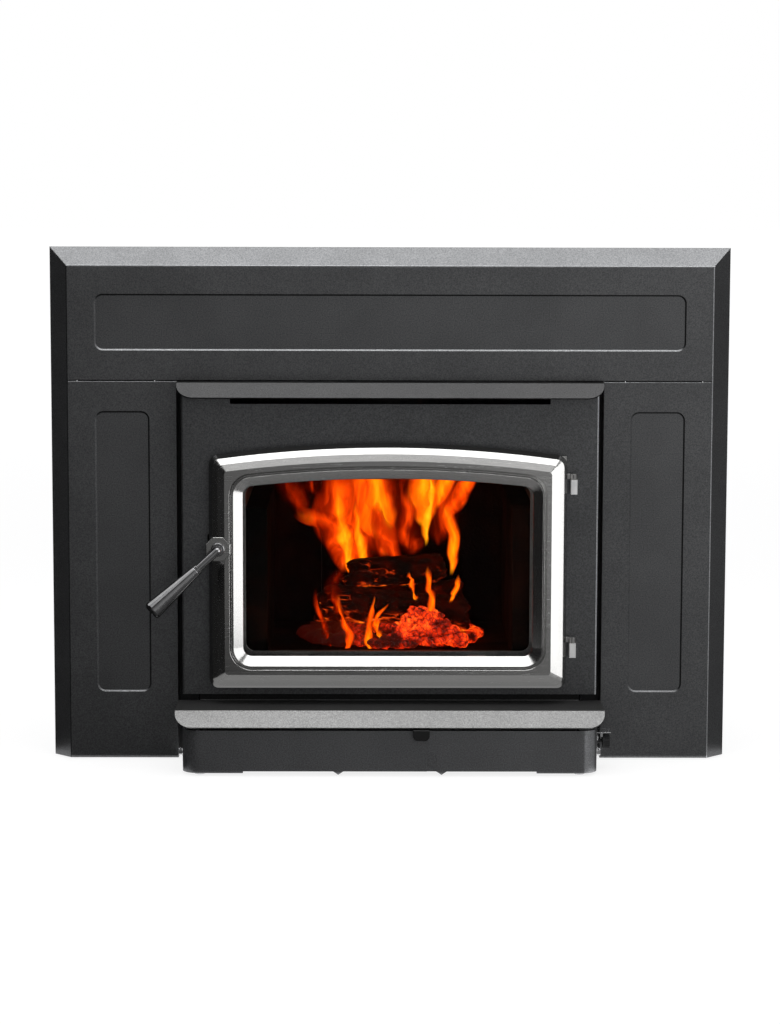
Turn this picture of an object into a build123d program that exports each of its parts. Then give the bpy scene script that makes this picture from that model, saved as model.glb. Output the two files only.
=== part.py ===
from build123d import *
import math
import os

# Fireplace insert. All sizes are millimetres and all angles are degrees.
# X runs to the right, Y away from the viewer and Z up. The hearth is Z = 0 and the
# front face of the surround is Y = 0 while the pieces are made. When they are
# written, all of them move along Y so that the object's middle is Y = 0.

# ---- Surround: sheet panels and a bevelled border --------------------------------------------
surround_width = 1016.0
surround_height = 769.0
surround_lift = 2.0  # bottom edge above the hearth
border_width = 27.0  # slanting border, as deep as it is wide
border_flat = 1.5  # flat strip of the border beside the panels
border_lap = 14.0  # flange of the border behind the panels
border_bend_radius = 3.0
panel_steel = 2.0
panel_edge = 0.9  # rounding of the panels' cut edges
side_panel_height = 570.0
seam_gap = 1.4
body_gap = 8.5  # between the body and the side panels
opening_return = 18.0  # flange of the side panels along the opening
field_depth = 1.3  # pressed fields
field_slope = 2.3
field_corner = 13.0
field_side_margin = 40.5
field_seam_margin = 44.5
field_low_share = 0.263  # margins of the top field, of the top panel's height
field_high_share = 0.24
field_foot_margin = 101.0
seam_plate_clear = 1.0  # to the ties and the border
seam_plate_margin = 7.0  # to the pressed fields
tie_leg = 30.0
tie_depth = 28.0
tie_lap = 12.0  # top of the tie over the seam
tie_screw_rows = 3

# ---- Body: front plate, lip and jacket -------------------------------------------------------
body_width = 620.0
body_reach = 30.0  # front plate ahead of the surround
front_steel = 5.0
latch_slot_play = 1.5
front_bottom = 105.0
front_height = 465.5
front_bend_radius = 3.0
front_return = 45.0  # side flanges of the front plate
return_steel = 3.0
outlet_width = 475.0  # hot-air slot
outlet_bottom = 541.0
outlet_height = 24.0
lip_overhang = 6.5  # lips past the body on each side
lip_steel = 2.5
top_lip_reach = 21.0
lip_corner = 25.0
jacket_width = 572.0
jacket_depth = 430.0  # from the back of the front plate
jacket_steel = 1.6
jacket_slope_run = 60.0  # sloping rear of the jacket top
jacket_slope_drop = 80.0
louvre_width = 60.0
louvre_height = 6.0
louvre_pitch = 90.0
louvre_low = 0.75  # heights of the louvre rows, of the rear sheet
louvre_high = 0.85
base_lift = 8.0
base_steel = 2.5

# ---- Ash lip ---------------------------------------------------------------------------------
ash_lip_top = 95.0
ash_lip_shelf = 75.0  # ahead of the front plate
ash_lip_bevel = 22.0
ash_lip_steel = 3.0
ash_lip_lap = 12.0  # upstand behind the front plate
gusset_steel = 3.0
gusset_height = 20.0
gusset_tail = 27.0  # along the jacket

# ---- Firebox ---------------------------------------------------------------------------------
firebox_steel = 6.0
firebox_inner_width = 430.0
firebox_inner_depth = 375.0
floor_top = 128.0
firebox_inner_height = 377.0
brick_thickness = 32.0
brick_rows = 3
brick_gap = 1.0
brick_wall_height = 225.0
sill_edge = 2.0
sill_holes = 7
baffle_thickness = 22.0
baffle_depth = 300.0
tube_radius = 9.0
tube_wall = 2.0
tube_count = 3
tube_height = 271.0  # tube centres above the floor bricks
tube_hole_radius = 2.0
tube_hole_pitch = 30.0
stand_size = 24.0
flue_radius = 77.0  # inside of the collar
flue_wall = 4.0
flue_height = 100.0
flue_setback = 165.0  # behind the front plate
flue_play = 3.0

# ---- Door ------------------------------------------------------------------------------------
door_centre_x = -3.0
door_width = 531.0
door_bottom = 117.0
door_height = 367.0
door_arch_radius = 1850.0
door_standoff = 10.0  # back of the door to the front plate
door_thickness = 30.0
door_edge = 5.0
door_bevel = 24.0
bevel_fullness = 0.55  # 0 is a flat bevel, 1 a quarter round
bevel_corner_share = 0.4
door_corner = 15.0
glass_inset = 51.0  # edge of the casting to the visible glass
glass_chamfer = 14.0
glass_sink = 12.0  # glass behind the face of the casting
groove_width = 6.0
groove_depth = 3.0
groove_floor = 0.8
glass_thickness = 5.0
glass_lap = 9.0
glass_play = 1.0
tape_thickness = 1.6
tape_width = 7.0
rope_inset = 24.0
rope_width = 10.0
rope_channel = 7.0
rope_play = 0.3
mouth_inset = 53.5
clip_width = 26.0
clip_steel = 2.5
clip_foot = 4.0
clip_to_rope = 1.0
clip_to_glass = 2.0
door_corner_glass = 13.0

# ---- Hinges ----------------------------------------------------------------------------------
hinge_offset = 10.0  # axis from the edge of the door
hinge_forward = 13.0  # axis ahead of the front plate
hinge_low = 164.0
hinge_high = 409.0
lug_width = 9.6
lug_height = 21.5
lug_nose = 7.0
lug_round = 1.5
pin_radius = 2.5
pin_play = 0.05
knuckle_radius = 5.2
knuckle_height = 8.0
knuckle_gap = 0.3
arm_steel = 4.0
arm_height = 34.0
arm_length = 20.0
arm_setback = 1.0

# ---- Latch and handle ------------------------------------------------------------------------
latch_inset = 14.5  # axis from the edge of the door
latch_height = 329.0
boss_across = 36.0
boss_proud = 0.6
boss_round = 1.2
boss_web = 1.0  # casting left between the boss and the rope gasket
shaft_radius = 5.6
shaft_play = 0.05
tail_radius = 4.6  # end of the shaft that carries the cam
hub_radius = 10.0
hub_length = 6.0
hub_gap = 0.3
hub_round = 1.5
rod_forward = 18.0  # rod centre ahead of the boss
rod_length = 42.0
rod_fall = 42.3
rod_splay = 9.0
collar_radius = 7.6
collar_length = 4.0
tang_length = 30.0
grip_length = 91.0
grip_start_radius = 7.9
grip_end_radius = 14.2
grip_end_round = 6.0
grip_start_round = 1.5
tang_radius = 4.0
cam_thickness = 6.0
cam_hub = 7.0
cam_reach = 16.0
cam_width = 9.0
cam_gap = 0.6
strike_steel = 4.0
strike_width = 13.0
strike_height = 14.0

# ---- Blower housing and levelling bolts ------------------------------------------------------
housing_width = 612.0
housing_reach = 92.0  # ahead of the front plate
housing_corner = 25.0
housing_steel = 2.0
housing_flange = 4.5  # turned out along the rear edges
pan_play = 1.0
ear_reach = 15.0
ear_width = 16.0
ear_height = 30.0
ear_setback = 4.0  # behind the round corner
clamp_height = 29.0
clamp_radius = 3.0
clamp_washer = 6.5
clamp_washer_steel = 1.5
clamp_head = 5.0
clamp_head_radius = 5.5
housing_top = 67.5
housing_ramp = 10.0  # slope at the ends of the lower front edge
housing_foot = 4.0
housing_raise = 2.7  # middle of the bottom edge above its ends
housing_raised_width = 432.0
toe_width = 15.0
toe_drop = 5.0
toe_spacing = 152.0
dimple_width = 13.5
dimple_height = 27.0
dimple_depth = 1.2
dimple_left = 54.5
bolt_radius = 5.0
bolt_foot_radius = 8.0
bolt_foot_height = 5.0
bolt_foot_edge = 0.6
bolt_spacing = 560.0
bolt_front = 74.0  # front bolts ahead of the front plate
bolt_back = 50.0  # rear bolts ahead of the back of the jacket
nut_radius = 9.0
nut_height = 7.0
bolt_spare = 4.0

# ---- Air control -----------------------------------------------------------------------------
control_x = 46.0
control_left = 60.0  # travel to the left
control_right = 30.0
bar_width = 20.0
bar_steel = 2.0
bar_gap = 0.3
knob_width = 24.0
knob_depth = 7.0
knob_height = 16.0
knob_corner = 7.0
knob_round = 1.2
shutter_width = 60.0
shutter_depth = 50.0
duct_depth = 66.0
duct_setback = 8.0  # behind the front plate
duct_wall = 2.0
port_width = 40.0
port_depth = 30.0
rail_steel = 2.0
rail_ledge = 6.0
rail_gap = 0.5

# ---- Blower ----------------------------------------------------------------------------------
fan_forward = 45.0  # axis ahead of the front plate
fan_axis_z = 39.0
fan_shaft_radius = 3.0
fan_play = 0.05
motor_radius = 24.0
motor_length = 66.0
motor_round = 3.0
motor_to_scroll = 22.0
wheel_radius = 22.0
wheel_length = 105.0
wheel_disc = 2.0
blade_count = 18
blade_depth = 5.0
blade_steel = 1.0
blade_inset = 0.25
scroll_gap = 3.0
scroll_steel = 1.5
scroll_outlet = 40.0
inlet_radius = 16.0
bracket_steel = 2.0
saddle_steel = 6.0
scroll_pad_depth = 12.0

# ---- Fan speed control and power inlet -------------------------------------------------------
plate_steel = 2.0
plate_height = 32.0
plate_length = 30.0
plate_screw_margin = 1.0
plate_screw_pitch = 18.0
guard_reach = 21.0  # guard over the knob, from the plate
guard_steel = 1.5
guard_tab_offset = 5.0
guard_tab_width = 3.5
guard_tab_drop = 5.5
speed_forward = 33.0  # knob axis ahead of the front plate
speed_z = 41.0
speed_box = 24.0
speed_box_length = 15.0
speed_box_round = 2.0
speed_bush_radius = 4.0
speed_bush_length = 3.0  # outside the plate
speed_shaft_radius = 3.0
speed_knob_radius = 10.5
speed_knob_length = 11.0
speed_knob_gap = 6.0  # knob to the end of the bush
speed_bore_depth = 8.0
speed_shaft_clear = 1.0
speed_knob_round = 1.2
flute_start = 3.0
flute_count = 12
flute_radius = 1.0
inlet_forward = 20.0  # middle of the inlet ahead of the front plate
inlet_width = 20.0
inlet_height = 26.0
inlet_depth = 16.0
inlet_rim = 3.0
inlet_rim_steel = 1.5
inlet_wall = 2.5
inlet_recess = 12.0
blade_width = 4.0
blade_steel_inlet = 1.0
blade_spacing = 9.0

# ---- Fasteners -------------------------------------------------------------------------------
screw_radius = 2.0
screw_head_radius = 4.0
screw_head_height = 2.4
screw_head_round = 0.8
screw_hole_play = 0.1
cut_spare = 1.0  # how far a cut runs past a face

# ---- Fire ------------------------------------------------------------------------------------
ember_width = 300.0
ember_depth = 210.0
ember_height = 24.0
ember_edge = 10.0
log_radius = 30.0
log_length = 250.0
log_spacing = 78.0
log_gap = 0.3
log_edge = 4.0
top_log_radius = 26.0
top_log_length = 180.0
top_log_turn = 62.0
fire_setback = 165.0  # middle of the fire behind the front plate
fire_x = 4.0

# ---- Sizes that follow -----------------------------------------------------------------------
face_half = surround_width / 2 - border_width
face_top = surround_lift + surround_height - border_width
seam_z = surround_lift + side_panel_height
opening_half = body_width / 2 + body_gap
panel_half = face_half - border_flat
top_panel_low = seam_z + seam_gap
top_panel_high = face_top - border_flat
top_field_low = top_panel_low + field_low_share * (top_panel_high - top_panel_low)
top_field_high = top_panel_high - field_high_share * (top_panel_high - top_panel_low)
seam_plate_left = opening_half + panel_steel + tie_leg + seam_plate_clear
seam_plate_right = face_half - border_lap - seam_plate_clear
seam_plate_low = seam_z - field_seam_margin + seam_plate_margin
seam_plate_high = top_field_low - seam_plate_margin
front_y = -body_reach
front_back_y = front_y + front_steel
front_top = front_bottom + front_height
lip_half = body_width / 2 + lip_overhang
jacket_half = jacket_width / 2
jacket_back_y = front_back_y + jacket_depth
jacket_top_z = front_top - jacket_steel
base_top = base_lift + base_steel
ash_lip_front = front_y - ash_lip_shelf
firebox_half = firebox_inner_width / 2
firebox_outer_half = firebox_half + firebox_steel
firebox_back_y = front_back_y + firebox_inner_depth
firebox_top_z = floor_top + firebox_inner_height
hearth_top = floor_top + brick_thickness
brick_face_y = firebox_back_y - brick_thickness
tube_z = hearth_top + tube_height
baffle_bottom = tube_z + tube_radius
door_back = front_y - door_standoff
door_front = door_back - door_thickness
door_half = door_width / 2
door_top = door_bottom + door_height
seat_y = door_front + glass_sink
glass_front = seat_y + tape_thickness
glass_back = glass_front + glass_thickness
groove_inset = glass_inset - glass_chamfer - groove_width
hinge_x = door_centre_x + door_half + hinge_offset
hinge_y = front_y - hinge_forward
latch_x = door_centre_x - door_half + latch_inset
boss_front = door_front - boss_proud
boss_back = door_back - rope_channel - boss_web
rod_y = boss_front - rod_forward
housing_half = housing_width / 2
housing_front = front_y - housing_reach
bar_bottom = housing_top + bar_gap
bar_top = bar_bottom + bar_steel
knob_back = housing_front - bar_steel
duct_front = front_back_y + duct_setback
duct_bottom = bar_top + rail_gap
fan_y = front_y - fan_forward
flue_y = front_back_y + flue_setback
speed_y = front_y - speed_forward
fire_y = front_back_y + fire_setback
bolt_front_y = front_y - bolt_front
bolt_back_y = jacket_back_y - bolt_back


# ---- Helpers ---------------------------------------------------------------------------------
def block(x0, x1, y0, y1, z0, z1):
    """Box between two corners."""
    centre = Pos((x0 + x1) / 2, (y0 + y1) / 2, (z0 + z1) / 2)
    return centre * Box(x1 - x0, y1 - y0, z1 - z0)


def polygon(points):
    """Flat outline through points."""
    return make_face(Polyline(*points, close=True))


def facing(y):
    """Plane at depth y that faces the viewer; its own axes are X and Z."""
    return Plane(origin=(0, y, 0), x_dir=(1, 0, 0), z_dir=(0, -1, 0))


def front_prism(outline, y_front, y_back):
    """Solid with an (X, Z) outline between two depths."""
    return extrude(facing(y_back) * outline, y_back - y_front)


def side_prism(points, x0, x1):
    """Solid with a (Y, Z) outline between two X positions."""
    return extrude(Plane.YZ.offset(x0) * polygon(points), x1 - x0)


def plan_prism(outline, z0, z1):
    """Solid with an (X, Y) outline between two heights."""
    return extrude(Plane.XY.offset(z0) * outline, z1 - z0)


def rod(start, direction, radius, length):
    """Round bar from a point along a direction."""
    along = (Align.CENTER, Align.CENTER, Align.MIN)
    return Plane(origin=start, z_dir=direction) * Cylinder(radius, length, align=along)


def corner_round(outline, point, radius):
    """Rounds the corner of a flat outline nearest to a point."""
    corner = outline.vertices().sort_by_distance((*point, 0))[0]
    return fillet(corner, radius)


def edges_at(solid, axis, **near):
    """Straight edges along an axis that lie at the given coordinates."""
    found = solid.edges().filter_by(axis)
    for name, value in near.items():
        found = found.filter_by(lambda e: abs(getattr(e.center(), name) - value) < 1e-3)
    return found


def mirrored(part):
    """The same piece on the other side of the middle plane."""
    return mirror(part, about=Plane.YZ)


def group(pieces):
    """Separate solids that share one node."""
    return Compound([solid for piece in pieces for solid in piece.solids()])


def screw(x, y, z, direction, grip):
    """Pan-head screw: its head stands on (x, y, z) and its shank goes back by grip."""
    head = rod((x, y, z), direction, screw_head_radius, screw_head_height)
    tip = tuple(a + b * screw_head_height for a, b in zip((x, y, z), direction))
    head = fillet(head.faces().sort_by_distance(tip)[0].edges(), screw_head_round)
    back = tuple(-part for part in direction)
    return head + rod((x, y, z), back, screw_radius, grip)


def screw_hole(x, y, z, direction, depth):
    """Hole for a screw whose head stands on (x, y, z)."""
    back = tuple(-part for part in direction)
    return rod((x, y, z), back, screw_radius + screw_hole_play, depth)


# ---- Surround --------------------------------------------------------------------------------
def border_section():
    """Section of the border: outward from the face edge, back from the face."""
    slant = panel_steel * math.sqrt(2)
    flange = 2 * panel_steel
    return [
        (-border_flat, 0),
        (0, 0),
        (border_width, border_width),
        (border_width - slant, border_width),
        (flange - slant, flange),
        (-border_lap, flange),
        (-border_lap, panel_steel),
        (-border_flat, panel_steel),
    ]


def mitre_waste():
    """What the 45 degree mitre at the top right corner cuts from the side border."""
    reach = 2 * border_width
    near = (face_half - reach, face_top - reach)
    far = (face_half + reach, face_top + reach)
    outline = polygon([near, far, (near[0], far[1])])
    return front_prism(outline, -reach, reach)


def side_border():
    """Right-hand length of the border."""
    outline = polygon([(face_half + out, back) for out, back in border_section()])
    outline = corner_round(outline, (face_half, 0), border_bend_radius)
    length = plan_prism(outline, surround_lift, surround_lift + surround_height)
    return length - mitre_waste()


def top_border():
    """Top length of the border, mitred at both ends."""
    outline = polygon([(back, face_top + out) for out, back in border_section()])
    outline = corner_round(outline, (0, face_top), border_bend_radius)
    length = extrude(Plane.YZ.offset(-surround_width / 2) * outline, surround_width)
    reach = 2 * border_width
    near = (face_half - reach, face_top - reach)
    far = (face_half + reach, face_top + reach)
    waste = front_prism(polygon([near, far, (far[0], near[1])]), -reach, reach)
    return length - waste - mirrored(waste)


def pressed_field(panel, x0, x1, z0, z1):
    """Presses a sunken field with sloping sides into a panel."""
    width, height = x1 - x0, z1 - z0
    centre = Pos((x0 + x1) / 2, (z0 + z1) / 2)
    rim = centre * RectangleRounded(width, height, field_corner)
    sunk = (width - 2 * field_slope, height - 2 * field_slope, field_corner - field_slope)
    floor = centre * RectangleRounded(*sunk)
    hollow = loft([facing(0) * rim, facing(field_depth) * floor], ruled=True)
    backing = front_prism(rim, panel_steel, panel_steel + field_depth)
    return panel + backing - hollow


def side_panel():
    """Right-hand panel, with a flange along the opening."""
    panel = block(opening_half, panel_half, 0, panel_steel, surround_lift, seam_z)
    inner = opening_half + panel_steel
    panel += block(opening_half, inner, 0, opening_return, surround_lift, seam_z)
    soft = edges_at(panel, Axis.Z, X=opening_half, Y=0) + edges_at(panel, Axis.X, Y=0, Z=seam_z)
    panel = fillet(soft, panel_edge)
    field = (opening_half + field_side_margin, panel_half - field_side_margin + border_flat)
    return pressed_field(panel, *field, surround_lift + field_foot_margin, seam_z - field_seam_margin)


def top_panel():
    """Panel over the body and both side panels."""
    panel = block(-panel_half, panel_half, 0, panel_steel, top_panel_low, top_panel_high)
    panel = fillet(edges_at(panel, Axis.X, Y=0, Z=top_panel_low), panel_edge)
    half = panel_half + border_flat - field_side_margin
    return pressed_field(panel, -half, half, top_field_low, top_field_high)


def seam_plate_screws():
    """Places of the screws in the right-hand seam plate."""
    inset = 2 * screw_head_radius
    heights = (seam_plate_low + inset, seam_plate_high - inset)
    sides = (seam_plate_left + inset, seam_plate_right - inset)
    return [(x, z) for x in sides for z in heights]


def seam_plate():
    """Plate behind the seam that joins the right-hand and top panels."""
    x = (seam_plate_left, seam_plate_right)
    back = panel_steel + bracket_steel
    plate = block(*x, panel_steel, back, seam_plate_low, seam_plate_high)
    for x, z in seam_plate_screws():
        plate -= screw_hole(x, back, z, (0, 1, 0), bracket_steel)
    return plate


def body_tie():
    """Strip behind the gap at the right of the body, from the panel to the jacket."""
    t = bracket_steel
    inner = opening_half + panel_steel
    outer = inner + tie_leg
    back = panel_steel + tie_depth
    outline = polygon([
        (inner, panel_steel),
        (outer, panel_steel),
        (outer, back),
        (jacket_half + t, back),
        (jacket_half + t, back + tie_leg),
        (jacket_half, back + tie_leg),
        (jacket_half, back - t),
        (outer - t, back - t),
        (outer - t, panel_steel + t),
        (inner, panel_steel + t),
    ])
    tie = plan_prism(outline, base_lift, top_panel_low + tie_lap)
    for place in tie_screws():
        tie -= screw_hole(*place, t)
    return tie


def tie_screws():
    """Screws of the right-hand body tie, in pairs: one into the panel and one into the jacket."""
    t = bracket_steel
    panel_x = opening_half + panel_steel + tie_leg / 2 - t
    jacket_y = panel_steel + tie_depth + tie_leg / 2
    height = seam_z - base_lift
    places = []
    for step in range(tie_screw_rows):
        z = base_lift + height * (step + 0.5) / tie_screw_rows
        places.append((panel_x, panel_steel + t, z, (0, 1, 0)))
        places.append((jacket_half + t, jacket_y, z, (1, 0, 0)))
    return places


def surround_brackets():
    """Seam plates and body ties."""
    right = [seam_plate(), body_tie()]
    return group(right + [mirrored(piece) for piece in right])


def sheet_screws():
    """Screws of the seam plates, of the body ties and of the speed control's plate."""
    back = panel_steel + bracket_steel
    right = [screw(x, back, z, (0, 1, 0), bracket_steel) for x, z in seam_plate_screws()]
    right += [screw(*place, bracket_steel) for place in tie_screws()]
    pairs = right + [mirrored(piece) for piece in right]
    grip = plate_steel + housing_steel
    return group(pairs + [screw(*place, (1, 0, 0), grip) for place in plate_screws()])


# ---- Door outline, which the gaskets, glass and mouth follow ---------------------------------
def arch(inset, radius):
    """Arched outline of the door, moved inward by inset, with its corners rounded."""
    half = door_half - inset
    bottom, top = door_bottom + inset, door_top - inset
    arc_radius = door_arch_radius - inset
    shoulder = top - arc_radius + math.sqrt(arc_radius**2 - half**2)
    sides = Polyline((-half, shoulder), (-half, bottom), (half, bottom), (half, shoulder))
    crown = ThreePointArc((half, shoulder), (0, top), (-half, shoulder))
    outline = make_face(sides.edges() + crown.edges())
    return Pos(door_centre_x, 0) * fillet(outline.vertices(), radius)


def glass_corner(inset):
    """Corner radius of an outline that runs parallel to the visible glass."""
    return door_corner_glass + glass_inset - inset


def arch_prism(inset, radius, y_front, y_back):
    """Solid inside the door's outline between two depths."""
    return front_prism(arch(inset, radius), y_front, y_back)


def arch_ring(outer, inner, y_front, y_back):
    """Ring that runs parallel to the visible glass."""
    ring = arch_prism(outer, glass_corner(outer), y_front, y_back)
    return ring - arch_prism(inner, glass_corner(inner), y_front, y_back)


# ---- Body ------------------------------------------------------------------------------------
def latch_slot():
    """Slot in the front plate that the latch cam passes through."""
    left = latch_x - cam_reach - latch_slot_play
    right = latch_x + cam_hub + latch_slot_play
    low = latch_height - cam_hub - latch_slot_play
    high = latch_height + cam_reach + latch_slot_play
    return block(left, right, front_y, front_back_y, low, high)


def front_plate():
    """Face of the body, with side flanges, firebox mouth, hot-air slot and latch slot."""
    half = body_width / 2
    plate = block(-half, half, front_y, front_back_y, front_bottom, front_top)
    flange = block(half - return_steel, half, front_y, front_y + front_return, front_bottom, front_top)
    plate += flange + mirrored(flange)
    bends = edges_at(plate, Axis.Z, X=half, Y=front_y) + edges_at(plate, Axis.Z, X=-half, Y=front_y)
    plate = fillet(bends, front_bend_radius)
    plate -= arch_prism(mouth_inset, door_corner_glass, front_y, front_back_y)
    outlet = (outlet_bottom, outlet_bottom + outlet_height)
    plate -= block(-outlet_width / 2, outlet_width / 2, front_y, front_back_y, *outlet)
    return plate - latch_slot()


def bent_lip(front, back, top, drop, steel):
    """Flat strip whose front is bent down at 45 degrees, with rounded free corners."""
    square = steel / math.sqrt(2)
    inner = steel * (math.sqrt(2) - 1)
    strip = side_prism([
        (back, top),
        (front, top),
        (front - drop, top - drop),
        (front - drop + square, top - drop - square),
        (front + inner, top - steel),
        (back, top - steel),
    ], -lip_half, lip_half)
    strip = fillet(edges_at(strip, Axis.X, Y=front, Z=top), steel)
    ends = strip.edges().filter_by(lambda e: abs(abs(e.center().X) - lip_half) < 1e-3)
    return fillet(ends.sort_by(Axis.Z)[:2], lip_corner)


def top_lip():
    """Bent lip over the hot-air slot."""
    front = front_y - lip_steel * (math.sqrt(2) - 1)
    return bent_lip(front, -panel_steel, front_top + lip_steel, top_lip_reach, lip_steel)


def ash_lip():
    """Shelf under the door with a bent front edge and an upstand behind the front plate."""
    lip = bent_lip(ash_lip_front, front_back_y, ash_lip_top, ash_lip_bevel, ash_lip_steel)
    half = jacket_half - jacket_steel
    back = front_back_y + ash_lip_steel
    bottom = ash_lip_top - ash_lip_steel
    return lip + block(-half, half, front_back_y, back, bottom, front_bottom + ash_lip_lap)


def ash_lip_gusset():
    """Right-hand bracket under the ash lip, on the outside of the jacket."""
    top = ash_lip_top - ash_lip_steel
    back = front_back_y + gusset_tail
    front = ash_lip_front + gusset_height
    return side_prism([
        (front, top),
        (back, top),
        (back, top - gusset_height),
        (front_y, top - gusset_height),
    ], jacket_half, jacket_half + gusset_steel)


def jacket_outline():
    """Side view of the jacket: back and front depth at each height."""
    slope_z = jacket_top_z - jacket_slope_drop
    slope_y = jacket_back_y - jacket_slope_run
    return [
        (front_back_y, base_top),
        (jacket_back_y, base_top),
        (jacket_back_y, slope_z),
        (slope_y, jacket_top_z),
        (front_back_y, jacket_top_z),
    ]


def jacket_side():
    """Right-hand sheet of the jacket."""
    sheet = side_prism(jacket_outline(), jacket_half - jacket_steel, jacket_half)
    for place in tie_screws()[1::2]:
        sheet -= screw_hole(*place, bracket_steel + jacket_steel)
    return sheet


def jacket_back():
    """Rear sheet of the jacket, with two rows of louvre slots."""
    half = jacket_half - jacket_steel
    top = jacket_top_z - jacket_slope_drop
    sheet = block(-half, half, jacket_back_y - jacket_steel, jacket_back_y, base_top, top)
    for row in (louvre_low, louvre_high):
        for column in range(-2, 3):
            z = base_top + (top - base_top) * row
            centre = Pos(column * louvre_pitch, z)
            slot = centre * SlotOverall(louvre_width, louvre_height)
            sheet -= front_prism(slot, jacket_back_y - jacket_steel, jacket_back_y)
    return sheet


def jacket_top():
    """Top sheet of the jacket with its sloping rear, and a hole for the flue collar."""
    half = jacket_half
    t = jacket_steel
    slope_z = jacket_top_z - jacket_slope_drop
    slope_y = jacket_back_y - jacket_slope_run
    slant = math.hypot(jacket_slope_run, jacket_slope_drop)
    bend = t * (slant - jacket_slope_run) / jacket_slope_drop
    sheet = side_prism([
        (front_back_y, jacket_top_z),
        (slope_y, jacket_top_z),
        (jacket_back_y, slope_z),
        (jacket_back_y, slope_z + t * slant / jacket_slope_run),
        (slope_y + bend, jacket_top_z + t),
        (front_back_y, jacket_top_z + t),
    ], -half, half)
    radius = flue_radius + flue_wall + flue_play
    return sheet - rod((0, flue_y, slope_z), (0, 0, 1), radius, 2 * jacket_slope_drop)


def base_pan():
    """Floor of the jacket, which reaches forward into the blower housing."""
    pan = plan_prism(housing_outline(housing_steel + pan_play), base_lift, base_top)
    pan += block(-jacket_half, jacket_half, front_y, jacket_back_y, base_lift, base_top)
    for x, y in bolt_places():
        pan -= rod((x, y, base_lift), (0, 0, 1), bolt_radius + screw_hole_play, base_steel)
    return pan


def bolt_places():
    """Plan places of the levelling bolts."""
    rear = jacket_half - 3 * nut_radius
    front = [(side * bolt_spacing / 2, bolt_front_y) for side in (-1, 1)]
    return front + [(side * rear, bolt_back_y) for side in (-1, 1)]


def levelling_bolt(x, y):
    """Bolt that stands on its head on the hearth."""
    head = rod((x, y, 0), (0, 0, 1), bolt_foot_radius, bolt_foot_height)
    head = chamfer(head.edges().sort_by(Axis.Z)[0], bolt_foot_edge)
    return head + rod((x, y, 0), (0, 0, 1), bolt_radius, base_top + nut_height + bolt_spare)


def hex_nut(x, y, z):
    """Nut round a levelling bolt."""
    nut = plan_prism(Pos(x, y) * RegularPolygon(nut_radius, 6), z, z + nut_height)
    return nut - rod((x, y, z), (0, 0, 1), bolt_radius + screw_hole_play, nut_height)


def levelling_bolts():
    """Every bolt with its nut, which stands on the base pan."""
    bolts = [levelling_bolt(x, y) for x, y in bolt_places()]
    return group(bolts + [hex_nut(x, y, base_top) for x, y in bolt_places()])


# ---- Firebox ---------------------------------------------------------------------------------
def firebox_side():
    """Right-hand wall."""
    x = (firebox_half, firebox_outer_half)
    return block(*x, front_back_y, firebox_back_y, floor_top, firebox_top_z)


def firebox_back():
    """Rear wall."""
    back = firebox_back_y + firebox_steel
    half = firebox_outer_half
    return block(-half, half, firebox_back_y, back, floor_top, firebox_top_z)


def firebox_floor():
    """Floor plate on four posts, with the opening that the air comes through."""
    half = firebox_outer_half
    back = firebox_back_y + firebox_steel
    bottom = floor_top - firebox_steel
    floor = block(-half, half, front_back_y, back, bottom, floor_top)
    floor -= air_port(bottom, floor_top)
    x = firebox_half - 1.5 * stand_size
    for side in (-1, 1):
        for y in (duct_front + duct_depth + 2 * stand_size, firebox_back_y - 2 * stand_size):
            left = side * x - stand_size / 2
            floor += block(left, left + stand_size, y, y + stand_size, base_top, bottom)
    return floor


def firebox_top():
    """Top plate, with the hole for the flue collar."""
    half = firebox_outer_half
    back = firebox_back_y + firebox_steel
    lid = block(-half, half, front_back_y, back, firebox_top_z, firebox_top_z + firebox_steel)
    return lid - rod((0, flue_y, firebox_top_z), (0, 0, 1), flue_radius + flue_wall, firebox_steel)


def flue_collar():
    """Round spigot that the chimney liner drops into."""
    start = (0, flue_y, firebox_top_z)
    collar = rod(start, (0, 0, 1), flue_radius + flue_wall, flue_height)
    return collar - rod(start, (0, 0, 1), flue_radius, flue_height)


def floor_bricks():
    """Bricks that lie on the firebox floor, clear of the air port."""
    width = firebox_inner_width / 4
    front = duct_front + duct_depth
    depth = (firebox_back_y - front) / brick_rows
    bricks = []
    for column in range(4):
        x = -firebox_half + column * width
        for row in range(brick_rows):
            y = front + row * depth
            sides = (x, x + width - brick_gap)
            bricks.append(block(*sides, y + brick_gap, y + depth, floor_top, hearth_top))
    return group(bricks)


def side_bricks():
    """Bricks along the right-hand wall."""
    depth = (brick_face_y - front_back_y - brick_gap) / brick_rows
    inner = firebox_half - brick_thickness
    bricks = []
    for row in range(brick_rows):
        y = front_back_y + brick_gap + row * depth
        z = (hearth_top, hearth_top + brick_wall_height)
        bricks.append(block(inner, firebox_half, y, y + depth - brick_gap, *z))
    return group(bricks)


def back_bricks():
    """Bricks along the rear wall."""
    width = firebox_inner_width / 4
    bricks = []
    for column in range(4):
        x = -firebox_half + column * width
        z = (hearth_top, hearth_top + brick_wall_height)
        bricks.append(block(x, x + width - brick_gap, brick_face_y, firebox_back_y, *z))
    return group(bricks)


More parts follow.
